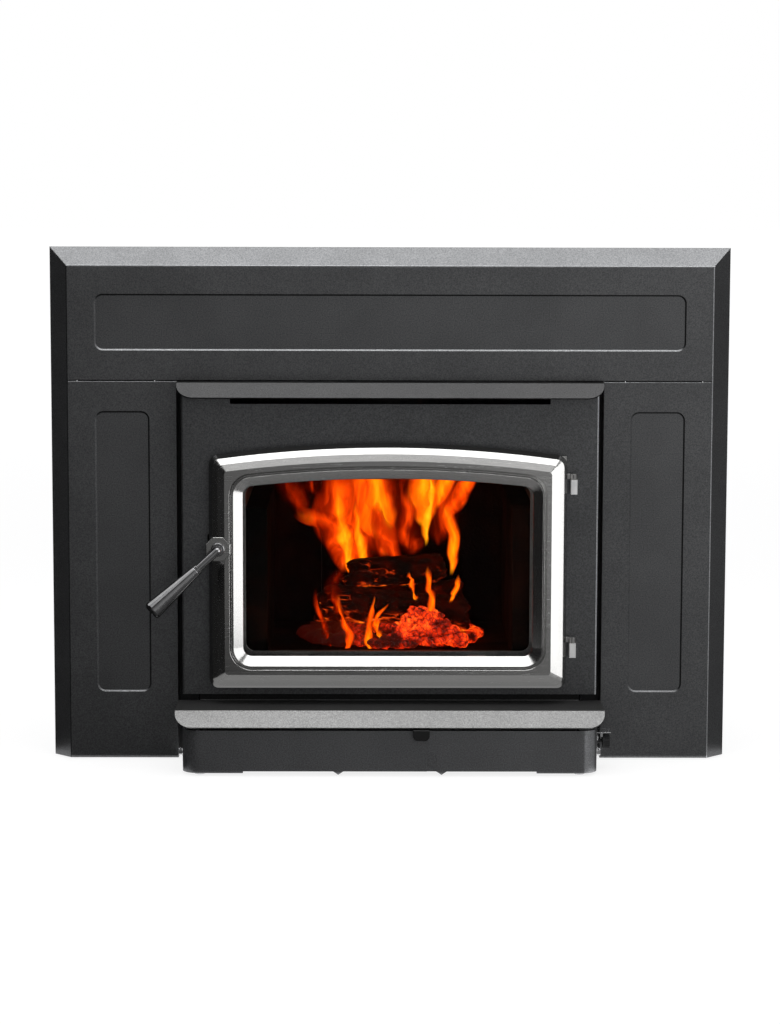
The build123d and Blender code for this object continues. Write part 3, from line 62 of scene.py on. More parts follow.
class Nodes:
    """The node tree of a material or world, emptied, and short ways to fill it."""

    def __init__(self, owner):
        owner.use_nodes = True
        self.tree = owner.node_tree
        self.tree.nodes.clear()

    def add(self, kind, **values):
        """A new node with these properties."""
        node = self.tree.nodes.new(kind)
        for key, value in values.items():
            setattr(node, key, value)
        return node

    def join(self, out, socket):
        """Links an output to a socket."""
        self.tree.links.new(out, socket)

    def feed(self, socket, value):
        """Sets a socket to a number or a colour, or links it to an output."""
        if isinstance(value, (int, float)):
            socket.default_value = value
        elif isinstance(value, tuple):
            socket.default_value = (*value, 1)
        else:
            self.join(value, socket)

    def calc(self, kind, *values):
        """A Math node's result."""
        node = self.add("ShaderNodeMath", operation=kind)
        for socket, value in zip(node.inputs, values):
            self.feed(socket, value)
        return node.outputs[0]

    def product(self, first, *others):
        """The values multiplied in turn."""
        for value in others:
            first = self.calc("MULTIPLY", first, value)
        return first

    def sway(self, base, value, middle, gain):
        """The base, plus gain times how far the value lies above the middle."""
        return self.calc("ADD", base, self.product(self.calc("SUBTRACT", value, middle), gain))

    def span(self, value, source, target=WHOLE, smooth=True):
        """Maps the source range to the target range and holds its ends."""
        kind = "SMOOTHSTEP" if smooth else "LINEAR"
        node = self.add("ShaderNodeMapRange", interpolation_type=kind)
        self.join(value, node.inputs["Value"])
        for key, number in zip(("From Min", "From Max", "To Min", "To Max"), (*source, *target)):
            node.inputs[key].default_value = number
        return node.outputs[0]

    def parts(self, vector):
        """The x, y and z outputs of a vector."""
        split = self.add("ShaderNodeSeparateXYZ")
        self.join(vector, split.inputs[0])
        return split.outputs

    def place(self):
        """Coordinates in the object's own space, which is the frame."""
        return self.add("ShaderNodeTexCoord").outputs["Object"]

    def mix(self, factor, a, b, kind="MIX"):
        """Two colours mixed."""
        node = self.add("ShaderNodeMix", data_type="RGBA", blend_type=kind)
        for index, value in ((MIX_FACTOR, factor), (MIX_A, a), (MIX_B, b)):
            self.feed(node.inputs[index], value)
        return node.outputs[MIX_RESULT]

    def seen_rays(self):
        """1 for what the camera sees directly, mirrored or through glass, 0 after scattering."""
        path = self.add("ShaderNodeLightPath").outputs
        total = path["Is Camera Ray"]
        for kind in ("Is Glossy Ray", "Is Transmission Ray"):
            total = self.calc("MAXIMUM", total, path[kind])
        return self.product(self.calc("LESS_THAN", path["Diffuse Depth"], 0.5), total)

    def sum_of(self, shader_a, shader_b):
        """Two shaders added."""
        both = self.add("ShaderNodeAddShader")
        self.join(shader_a, both.inputs[0])
        self.join(shader_b, both.inputs[1])
        return both.outputs[0]


class Surface(Nodes):
    """A Principled material and the node recipes that the finishes share."""

    def __init__(self, name, color, metallic, roughness):
        self.material = bpy.data.materials.new(name)
        super().__init__(self.material)
        output = self.add("ShaderNodeOutputMaterial")
        self.shader = self.add("ShaderNodeBsdfPrincipled")
        self.join(self.shader.outputs[0], output.inputs["Surface"])
        self.put("Base Color", color)
        self.put("Metallic", metallic)
        self.put("Roughness", roughness)
        self.normal = None
        self.coords = self.place()

    def put(self, name, value):
        """Sets one of the shader's sockets to a number or a colour, or links it."""
        self.feed(self.shader.inputs[name], value)

    def mapped(self, stretch):
        """The place, scaled along each axis."""
        node = self.add("ShaderNodeMapping")
        node.inputs["Scale"].default_value = stretch
        self.join(self.coords, node.inputs["Vector"])
        return node.outputs[0]

    def noise(self, scale, detail=3.0, rough=0.55, warp=0.0, stretch=(1, 1, 1)):
        """A noise pattern's value."""
        node = self.add("ShaderNodeTexNoise")
        node.inputs["Scale"].default_value = scale
        node.inputs["Detail"].default_value = detail
        node.inputs["Roughness"].default_value = rough
        node.inputs["Distortion"].default_value = warp
        self.join(self.mapped(stretch), node.inputs["Vector"])
        return node.outputs["Fac"]

    def cells(self, scale, feature="F1", stretch=(1, 1, 1)):
        """The outputs of a pattern of irregular cells."""
        node = self.add("ShaderNodeTexVoronoi", feature=feature)
        node.inputs["Scale"].default_value = scale
        self.join(self.mapped(stretch), node.inputs["Vector"])
        return node.outputs

    def ramp(self, value, *stops):
        """A colour ramp with stops of (position, colour)."""
        node = self.add("ShaderNodeValToRGB")
        band = node.color_ramp
        band.elements[0].position, band.elements[1].position = stops[0][0], stops[-1][0]
        for position, _ in stops[1:-1]:
            band.elements.new(position)
        for element, (_, color) in zip(band.elements, stops):
            element.color = (*color, 1)
        self.join(value, node.inputs[0])
        return node.outputs[0]

    def attribute(self, name):
        """A number that the mesh holds at its points."""
        return self.add("ShaderNodeAttribute", attribute_name=name).outputs["Fac"]

    def true_normal(self):
        """The mesh's own normal, without the rounded edges and the bump."""
        return self.add("ShaderNodeNewGeometry").outputs["Normal"]

    def rounded_normal(self, radius):
        """The normal, rounded over sharp edges."""
        node = self.add("ShaderNodeBevel", samples=BEVEL_SAMPLES)
        node.inputs["Radius"].default_value = radius
        return node.outputs[0]

    def soft_edges(self, radius):
        """Rounds sharp edges in the shading."""
        self.normal = self.rounded_normal(radius)

    def edge_mask(self, radius):
        """1 along worn edges, 0 on the flats."""
        dot = self.add("ShaderNodeVectorMath", operation="DOT_PRODUCT")
        self.join(self.rounded_normal(radius), dot.inputs[0])
        self.join(self.true_normal(), dot.inputs[1])
        return self.span(self.calc("SUBTRACT", 1.0, dot.outputs["Value"]), EDGE_TURN)

    def shade_on_level_tops(self, color, share, metallic):
        """The colour, painted darker as shade on level tops, down to a share, as is the gloss
        there.
        """
        level = self.span(self.parts(self.true_normal())[2], LEVEL_TOP)
        self.put("Metallic", self.span(level, WHOLE, (metallic, metallic * share)))
        specular = self.span(level, WHOLE, (FULL_SPECULAR, FULL_SPECULAR * share))
        self.put("Specular IOR Level", specular)
        return self.mix(self.span(level, WHOLE, (0.0, 1 - share)), color, BLACK)

    def scaled(self, color, gain):
        """The colour times a grey gain."""
        return self.mix(1.0, color, gain, kind="MULTIPLY")

    def bump(self, height, distance, strength):
        """Adds relief of this height to the normal."""
        node = self.add("ShaderNodeBump")
        node.inputs["Distance"].default_value = distance
        node.inputs["Strength"].default_value = strength
        self.join(height, node.inputs["Height"])
        if self.normal:
            self.join(self.normal, node.inputs["Normal"])
        self.normal = node.outputs[0]

    def done(self):
        """Links the normal, and gives the material."""
        if self.normal:
            self.put("Normal", self.normal)
        return self.material


def shade(color, share):
    """The colour times a number, held at 1."""
    return tuple(min(1.0, c * share) for c in color)


# ---- Recipes -------------------------------------------------------------------------------
SOFT_EDGE, WORN_EDGE = 0.0006, 0.0009  # radii
PAINT_GRAIN = 560.0  # noise scale of the paint's grain
PAINT_DEPTH = 0.00014
WORN_PAINT = (0.3, 0.3, 0.31)
SLOPING, SLOPING_BACK = (0.08, 0.45), (-0.45, -0.08)  # parts of the normal, either way
FACING_ROOM = (0.74, 0.8)  # steeper slopes keep their tone
# painted light on slopes facing up, painted shade on slopes facing down or left
UP_LIGHT_GAIN, DOWN_SHADE_GAIN, LEFT_SHADE_GAIN = 2.0, 0.3, 0.25


def relief_light_gain(s):
    """Gain that paints light and shade on the slopes of pressed fields: lighter facing up,
    darker facing down or left.
    """
    x, y, z = s.parts(s.true_normal())
    up = s.span(z, SLOPING, (1.0, UP_LIGHT_GAIN))
    down = s.span(z, SLOPING_BACK, (DOWN_SHADE_GAIN, 1.0))
    left = s.span(x, SLOPING_BACK, (LEFT_SHADE_GAIN, 1.0))
    facing = s.span(s.calc("ABSOLUTE", y), FACING_ROOM)
    change = s.calc("SUBTRACT", s.product(up, down, left), 1.0)
    return s.calc("ADD", s.product(change, facing), 1.0)


def bend_highlight_gain(s, gain, end_from, end_to):
    """Gain for a highlight painted on bends at the right. It ends between these sideways parts
    of the normal.
    """
    x = s.parts(s.true_normal())[0]
    highlit = s.product(s.span(x, (0.1, 0.35)), s.span(x, (end_from, end_to), (1.0, 0.0)))
    return s.span(highlit, WHOLE, (1.0, gain))


def paint(name, tones, metallic, roughness, depth=PAINT_DEPTH, wear=WORN_PAINT, top=1.0,
          shaded_above=None, relief=False, bend_highlight=None):
    """Fine-grained metallic stove paint, mottled and rubbed a little along its edges.

    tones are the dark and light grains, depth their height, and wear the rubbed edges' colour.
    Level tops are painted darker as shade, down to the share top, and all above the height
    shaded_above is painted nearly black as shade.
    relief paints light and shade on the slopes of pressed fields, and bend gives
    bend_highlight_gain its numbers, for a highlight painted on bends."""
    dark, light = tones
    s = Surface(name, dark, metallic, roughness)
    s.soft_edges(SOFT_EDGE)
    fine = s.noise(PAINT_GRAIN, detail=2.0, rough=0.6)
    broad = s.noise(9.0, detail=4.0, rough=0.6)
    grains = s.ramp(fine, (0.3, dark), (0.72, light))
    clouds = s.mix(s.span(broad, (0.35, 0.7), (0.0, 0.22)), grains, shade(dark, 0.7))
    patches = s.span(s.noise(55.0, detail=4.0), (0.42, 0.62), (0.1, 0.55))
    coat = s.mix(s.product(s.edge_mask(WORN_EDGE), patches), clouds, wear)
    # painted light and shade on the slopes of pressed fields
    if relief:
        coat = s.scaled(coat, relief_light_gain(s))
    # a highlight painted on bends at the right
    if bend_highlight:
        coat = s.scaled(coat, bend_highlight_gain(s, *bend_highlight))
    # painted shade: nearly black above the height shaded_above
    if shaded_above is not None:
        height = s.parts(s.coords)[2]
        shaded = s.span(height, (shaded_above, shaded_above + 0.001), (0.0, 0.85))
        coat = s.mix(shaded, coat, BLACK)
    s.put("Base Color", s.shade_on_level_tops(coat, top, metallic) if top < 1 else coat)
    uneven = (roughness - 0.04, roughness + 0.05)
    s.put("Roughness", s.span(s.noise(PAINT_GRAIN * 1.2), NOISE_BAND, uneven))
    s.bump(fine, depth, 0.55)
    return s.done()


def brushed(name, color, roughness, along, depth=0.00003, tint=0.16, edges=0.0008, top=1.0):
    """Metal brushed along one axis (0, 1 or 2). Level tops are painted darker as shade, down to
    the share top.
    """
    s = Surface(name, color, 1.0, roughness)
    s.soft_edges(edges)
    stretch = tuple(0.025 if axis == along else 1.0 for axis in range(3))
    lines = s.noise(900.0, rough=0.7, stretch=stretch)
    smudge = s.span(s.noise(7.0, rough=0.6), (0.4, 0.75), (0.0, 0.25))
    darker = shade(color, 1 - tint)
    toned = s.ramp(lines, (0.3, darker), (0.7, shade(color, 1 + tint * 0.6)))
    coat = s.mix(smudge, toned, darker)
    s.put("Base Color", s.shade_on_level_tops(coat, top, 1.0) if top < 1 else coat)
    s.put("Roughness", s.span(lines, (0.25, 0.75), (roughness - 0.05, roughness + 0.09)))
    s.bump(lines, depth, 0.6)
    return s.done()


def polished(name, color, roughness, metallic=1.0):
    """Plated metal with faint waves and handling marks."""
    s = Surface(name, color, metallic, roughness)
    s.soft_edges(0.0004)
    marks = s.noise(240.0, detail=4.0, rough=0.7, warp=0.4)
    stains = s.noise(60.0, detail=4.0)
    s.put("Base Color", s.ramp(stains, (0.3, shade(color, 0.78)), (0.65, color)))
    s.put("Roughness", s.span(marks, (0.35, 0.75), (roughness, roughness + 0.12)))
    s.bump(s.noise(90.0, detail=2.0), 0.00002, 0.5)
    return s.done()


def sooty_steel(name, color, stain, roughness=0.62):
    """Heat-stained steel with rust blooms and soot."""
    s = Surface(name, color, 0.7, roughness)
    s.soft_edges(0.0009)
    scale = s.noise(160.0, detail=5.0, rough=0.65)
    bloom = s.noise(14.0, detail=5.0, rough=0.65, warp=0.6)
    base = s.ramp(scale, (0.3, shade(color, 0.6)), (0.7, color))
    s.put("Base Color", s.mix(s.span(bloom, (0.52, 0.72), (0.0, 0.75)), base, stain))
    s.put("Metallic", s.span(bloom, (0.5, 0.68), (0.8, 0.15)))
    s.put("Roughness", s.span(scale, NOISE_BAND, (roughness - 0.12, roughness + 0.2)))
    s.bump(scale, 0.0004, 0.5)
    return s.done()


def zinc_sheet(name, shade_front=None):
    """Galvanised sheet with its spangle, painted black as shade ahead of the place shade_front.
    """
    metallic = 0.65
    s = Surface(name, (0.3, 0.31, 0.32), metallic, 0.5)
    s.soft_edges(SOFT_EDGE)
    flakes = s.add("ShaderNodeSeparateColor")
    s.join(s.cells(115.0)["Color"], flakes.inputs[0])
    tone, gloss, _ = flakes.outputs
    spangle = s.ramp(tone, (0.0, (0.21, 0.218, 0.228)), (1.0, (0.33, 0.338, 0.346)))
    haze = s.span(s.noise(5.0, detail=5.0, rough=0.6), (0.45, 0.75), (0.0, 0.45))
    coat = s.mix(haze, spangle, (0.17, 0.167, 0.163))
    # painted shade: black, with no gloss, ahead of the given depth
    if shade_front is not None:
        depth = s.parts(s.coords)[1]
        ahead = s.span(depth, (shade_front, shade_front + 0.002), (1.0, 0.0))
        coat = s.mix(ahead, coat, (0.004, 0.004, 0.004))
        s.put("Metallic", s.span(ahead, WHOLE, (metallic, 0.0)))
        s.put("Specular IOR Level", s.span(ahead, WHOLE, (FULL_SPECULAR, 0.0)))
    s.put("Base Color", coat)
    s.put("Roughness", s.span(gloss, WHOLE, (0.44, 0.6)))
    s.bump(s.noise(300.0), 0.00008, 0.5)
    return s.done()


def fire_brick(name):
    """Cast fire brick, pitted, with soot over it."""
    s = Surface(name, (0.34, 0.22, 0.14), 0.0, 0.92)
    s.put("Specular IOR Level", 0.02)
    s.soft_edges(0.002)
    grit = s.noise(260.0, detail=6.0, rough=0.7)
    pits = s.span(s.cells(190.0)["Distance"], (0.0, 0.5))
    soot = s.span(s.noise(7.0, detail=5.0, rough=0.62, warp=0.5), (0.34, 0.6))
    clay = s.ramp(grit, (0.3, (0.014, 0.004, 0.002)), (0.55, (0.03, 0.009, 0.005)),
                  (0.8, (0.06, 0.022, 0.013)))
    fired = s.mix(0.4, clay, (0.012, 0.003, 0.0015))
    s.put("Base Color", s.mix(soot, fired, (0.0016, 0.001, 0.0009)))
    s.bump(pits, 0.0006, 0.35)
    s.bump(grit, 0.0009, 0.6)
    return s.done()


def plastic(name, color):
    """Moulded plastic with a light spark texture."""
    roughness = 0.45
    s = Surface(name, color, 0.0, roughness)
    s.soft_edges(0.0004)
    pebble = s.noise(1500.0, detail=2.0, rough=0.5)
    s.put("Base Color", s.ramp(pebble, (0.3, shade(color, 0.8)), (0.7, shade(color, 1.25))))
    uneven = (roughness - 0.06, roughness + 0.1)
    s.put("Roughness", s.span(s.noise(200.0), NOISE_BAND, uneven))
    s.bump(pebble, 0.00006, 0.5)
    return s.done()


def fibre(name, color, deep, scale=900.0, stretch=(1, 1, 1)):
    """Pressed fibre board or woven rope."""
    s = Surface(name, color, 0.0, 0.95)
    strands = s.noise(scale, detail=4.0, rough=0.7, warp=1.2, stretch=stretch)
    stain = s.span(s.noise(9.0, detail=4.0), (0.45, 0.7), (0.0, 0.6))
    s.put("Base Color", s.mix(stain, s.ramp(strands, (0.3, deep), (0.7, color)), deep))
    s.bump(strands, 0.0006, 0.6)
    return s.done()


def glass(name):
    """Clear ceramic glass, faintly smoked, with a trace of ash on it.

    Its low IOR keeps reflections of the white studio from veiling the fire."""
    s = Surface(name, (0.8, 0.79, 0.77), 0.0, 0.03)
    s.put("Transmission Weight", 1.0)
    s.put("IOR", 1.07)
    haze = s.noise(11.0, detail=5.0, rough=0.65, warp=0.5)
    s.put("Base Color", s.ramp(haze, (0.35, (0.84, 0.825, 0.8)), (0.8, (0.74, 0.71, 0.67))))
    s.put("Roughness", s.span(haze, (0.45, 0.8), (0.0, 0.05)))
    return s.done()


# ---- Finishes ------------------------------------------------------------------------------
SHELF_TOP = 0.095  # height of the ash lip's shelf
JACKET_TOP_SHADE_FRONT = -0.093  # the jacket's top is painted black as shade ahead of this, where the slot shows it
JACKET_SIDE_SHADE_FRONT = -0.135  # and its sides ahead of this, beside the body
CHARCOAL = ((0.11, 0.112, 0.115), (0.22, 0.223, 0.228))
BODY_CHARCOAL = ((0.098, 0.1, 0.103), (0.195, 0.198, 0.203))
LIP_GREY = ((0.124, 0.124, 0.123), (0.248, 0.248, 0.246))
# a darker copy of the lip's grey, as painted shade on the top lip
TOP_LIP_SHADED_GREY = ((0.036, 0.036, 0.0365), (0.071, 0.071, 0.072))
HOUSING_CHARCOAL = ((0.135, 0.137, 0.141), (0.27, 0.274, 0.282))
BAR_BLACK = ((0.02, 0.02, 0.021), (0.04, 0.04, 0.042))
KNOB_BLACK = ((0.006, 0.006, 0.0062), (0.012, 0.012, 0.0125))
NICKEL = (0.43, 0.427, 0.42)

# the surround's pressed fields get painted light and shade on their slopes
surround_paint = paint("surround_charcoal", CHARCOAL, 0.9, 0.4, relief=True)
# a highlight painted along the front plate's bent right edge
body_paint = paint("body_charcoal", BODY_CHARCOAL, 0.9, 0.42, bend_highlight=(5.5, 0.9, 0.98))
# the right border: a copy of the surround paint with a highlight painted along its bent edge
border_highlit_paint = paint("border_charcoal_highlit", CHARCOAL, 0.9, 0.4, bend_highlight=(4.0, 0.62, 0.69))
# the shelf's level top painted dark as shade, and all above the shelf painted black as shade
lip_paint = paint("lip_grey", LIP_GREY, 0.9, 0.4, top=0.25, shaded_above=SHELF_TOP + 0.0005)
# the top lip: a darker copy of the lip paint as painted shade, its level top darker still
top_lip_shaded_paint = paint("top_lip_shaded_grey", TOP_LIP_SHADED_GREY, 0.85, 0.46, top=0.1)
# a highlight painted along the housing's bent right edge
housing_paint = paint("housing_charcoal", HOUSING_CHARCOAL, 0.9, 0.42, bend_highlight=(2.4, 0.75, 0.95))
# the door's level tops painted dark as shade
door_nickel = brushed("door_nickel", NICKEL, 0.19, 0, depth=0.000005, tint=0.07, edges=0.0007,
                      top=0.06)
plated = polished("bright_plate", (0.72, 0.72, 0.73), 0.2)
lug_plate = polished("satin_plate", (0.82, 0.82, 0.81), 0.35, metallic=0.2)
black_nickel = polished("black_nickel", (0.3, 0.3, 0.305), 0.1)
mill_steel = brushed("mill_steel", (0.46, 0.455, 0.45), 0.36, 2)
black_bar = paint("bar_black", BAR_BLACK, 0.4, 0.5, depth=0.0001)
knob_black = paint("knob_black", KNOB_BLACK, 0.2, 0.42, depth=0.00006, wear=(0.05, 0.05, 0.05))
zinc = zinc_sheet("galvanised")
zinc_top_shaded = zinc_sheet("galvanised_top_shaded", JACKET_TOP_SHADE_FRONT)
zinc_side_shaded = zinc_sheet("galvanised_side_shaded", JACKET_SIDE_SHADE_FRONT)
fire_steel = sooty_steel("fire_steel", (0.1, 0.095, 0.09), (0.12, 0.05, 0.022))
blued_tube = sooty_steel("blued_tube", (0.3, 0.26, 0.22), (0.1, 0.09, 0.13), 0.4)
cast_iron = sooty_steel("cast_iron", (0.02, 0.018, 0.017), (0.026, 0.012, 0.007), 0.8)
brick = fire_brick("fire_brick")
board = fibre("baffle_fibre", (0.62, 0.6, 0.56), (0.2, 0.18, 0.16))
rope = fibre("gasket_rope", (0.13, 0.125, 0.12), (0.03, 0.03, 0.03), 700.0, (1, 1, 0.4))
tape = fibre("gasket_tape", (0.35, 0.34, 0.32), (0.12, 0.11, 0.1), 1200.0)
clear = glass("door_glass")
black_plastic = plastic("black_plastic", (0.022, 0.022, 0.023))
motor_steel = brushed("motor_steel", (0.3, 0.3, 0.31), 0.4, 0)
rotor_metal = brushed("rotor_metal", (0.55, 0.56, 0.57), 0.3, 0)

FINISHES = (
    (surround_paint, "surround_right_panel surround_left_panel surround_top_panel"),
    (surround_paint, "border_left border_top"),
    (border_highlit_paint, "border_right"),
    (body_paint, "front_plate ash_lip_gussets"),
    (housing_paint, "blower_housing"),
    (lip_paint, "ash_lip"),
    (top_lip_shaded_paint, "top_lip"),
    (door_nickel, "door_frame latch_boss"),
    (black_nickel, "handle_rod handle_grip"),
    (lug_plate, "hinge_lugs"),
    (plated, "hinge_pins clamp_bolts control_plate sheet_screws clip_screws levelling_bolts"),
    (mill_steel, "hinge_arms glass_clips latch_cam latch_strike"),
    (black_bar, "air_control_bar surround_brackets"),
    (knob_black, "air_control_knob"),
    (zinc, "jacket_back base_pan fan_scrolls fan_bracket"),
    (zinc_side_shaded, "jacket_right jacket_left"),
    (zinc_top_shaded, "jacket_top"),
    (fire_steel, "firebox_right_wall firebox_left_wall firebox_back_wall firebox_floor"),
    (fire_steel, "firebox_top flue_collar air_duct"),
    (blued_tube, "air_tubes"),
    (brick, "floor_bricks right_bricks left_bricks back_bricks"),
    (cast_iron, "hearth_sill"),
    (board, "baffle_board"),
    (rope, "door_rope"),
    (tape, "glass_tape"),
    (clear, "door_glass"),
    (black_plastic, "speed_control speed_knob power_inlet"),
    (motor_steel, "fan_motor"),
    (rotor_metal, "fan_rotor"),
)
for finish, names in FINISHES:
    for node_name in names.split():
        slots = nodes[node_name].data.materials
        slots.clear()
        slots.append(finish)


# ---- Fire: its materials -------------------------------------------------------------------
def charred_bark():
    """Burnt wood: black, glowing in deep checks and underneath, with faint patches of painted
    firelight over it.
    """
    s = Surface("charred_bark", (0.012, 0.01, 0.009), 0.0, 0.9)
    s.put("Specular IOR Level", 0.1)
    grain = s.noise(150.0, detail=6.0, rough=0.7, stretch=(0.22, 1, 1))
    ash = s.span(s.noise(18.0, detail=5.0, rough=0.62), (0.6, 0.78), (0.0, 0.3))
    base = s.ramp(grain, (0.3, (0.0022, 0.0016, 0.0013)), (0.75, (0.013, 0.008, 0.006)))
    s.put("Base Color", s.mix(ash, base, (0.03, 0.022, 0.018)))
    under = s.span(s.parts(s.true_normal())[2], (-0.25, -0.95))
    patches = s.span(s.noise(17.0, warp=0.5), (0.52, 0.68))
    deep = s.product(s.span(s.attribute("checks"), (0.05, 0.4), (1.0, 0.0)), patches)
    tongues = s.span(s.noise(30.0, detail=4.0, rough=0.6, warp=0.8), (0.45, 0.62))
    heat = s.calc("MAXIMUM", s.product(deep, 0.7), s.product(under, tongues))
    s.put("Emission Color", s.ramp(heat, (0.0, (0.25, 0.006, 0.0)), (0.5, (0.9, 0.06, 0.003)),
                                   (1.0, (1.0, 0.22, 0.01))))
    # painted light: faint glowing patches stand in for the fire's light on the logs
    lit = s.span(s.noise(38.0, detail=5.0, rough=0.7, warp=0.6), (0.4, 0.72), (0.0, 0.16))
    s.put("Emission Strength", s.calc("ADD", s.product(heat, 1.5), lit))
    s.bump(grain, 0.0014, 0.8)
    return s.done()


def glowing_coal():
    """Red-hot coals with dark cracks, crusts that have gone black, and a burnt-out left."""
    s = Surface("glowing_coal", (0.015, 0.011, 0.009), 0.0, 0.95)
    crust = s.noise(60.0, detail=6.0, rough=0.66, warp=0.9)
    gaps = s.cells(120.0, "DISTANCE_TO_EDGE", stretch=(1, 1, 0.7))["Distance"]
    cracks = s.span(gaps, (0.0, 0.09), (0.4, 1.0))
    patches = s.span(s.noise(15.0, rough=0.5), (0.38, 0.58), (0.12, 1.0))
    burnt_left = s.span(s.parts(s.coords)[0], (-0.09, 0.02), (0.05, 1.0))
    wide = s.product(patches, burnt_left)
    heat = s.product(s.span(crust, (0.28, 0.66)), cracks, wide)
    s.put("Emission Color", s.ramp(heat, (0.0, (0.2, 0.003, 0.0)), (0.3, (0.65, 0.018, 0.002)),
                                   (0.65, (0.95, 0.055, 0.004)), (1.0, (1.0, 0.2, 0.012))))
    s.put("Emission Strength", s.span(heat, (0.0, 0.5), (0.12, 1.55)))
    s.bump(crust, 0.004, 0.8)
    return s.done()


def flame_sheet():
    """Flame: clear at its edges, its root and its tip, and hotter towards its middle."""
    s = Surface("flame", BLACK, 0.0, 1.0)
    s.put("Specular IOR Level", 0.0)
    across, along, _ = s.parts(s.add("ShaderNodeTexCoord").outputs["UV"])
    streaks = s.noise(24.0, detail=4.0, rough=0.6, warp=1.8, stretch=(1, 0.4, 0.3))
    curls = s.noise(11.0, rough=0.5, warp=2.6, stretch=(1, 0.5, 0.55))
    off_middle = s.calc("ABSOLUTE", s.product(s.calc("SUBTRACT", across, 0.5), 2.0))
    ragged = s.sway(s.calc("SUBTRACT", 1.0, off_middle), curls, 0.5, 0.55)
    inward = s.calc("DIVIDE", s.calc("SUBTRACT", ragged, 0.06), s.attribute("softness"))
    tip = s.span(s.sway(along, streaks, 0.5, 0.4), (0.74, 1.02), (1.0, 0.0))
    cover = s.product(s.span(inward, WHOLE), tip, s.span(along, (0.0, 0.14)))
    warm = s.sway(s.attribute("warmth"), ragged, 0.8, 0.34)
    warm = s.sway(warm, s.span(streaks, (0.32, 0.68)), 0.5, 0.27)
    cooling = s.span(along, WHOLE, (0.03, 0.11), smooth=False)
    warm = s.calc("SUBTRACT", warm, cooling)
    s.put("Emission Color", s.ramp(warm, (0.0, (0.16, 0.002, 0.0)), (0.25, (0.6, 0.02, 0.0)),
                                   (0.45, (0.95, 0.06, 0.001)), (0.6, (1.0, 0.12, 0.001)),
                                   (0.78, (1.0, 0.28, 0.002)), (1.0, (1.0, 0.56, 0.012))))
    s.put("Emission Strength", s.span(warm, (0.0, 0.6), (0.45, 1.7)))
    s.put("Alpha", s.product(cover, s.span(warm, (0.0, 0.55), (0.5, 0.98))))
    return s.done()


# ---- Fire: its pieces ----------------------------------------------------------------------
def new_piece(name, bm, material, body="body"):
    """A piece that rides on a body, from a finished bmesh."""
    mesh = bpy.data.meshes.new(name)
    bm.to_mesh(mesh)
    bm.free()
    piece = bpy.data.objects.new(name, mesh)
    scene.collection.objects.link(piece)
    mesh.materials.append(material)
    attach(piece, body)
    return piece


FLAME_ROWS, FLAME_COLS = 34, 14
FULLEST = 0.42  # how far up its path a flame is widest
ROOT_WIDTH = 0.25  # share of its width that a flame has at its ends
MAX_BOW = 0.02  # most of its half width that counts for the bow towards the room
BOW_SHARE = 0.7
WAVE = 0.005
SEED_STEP = 3.1

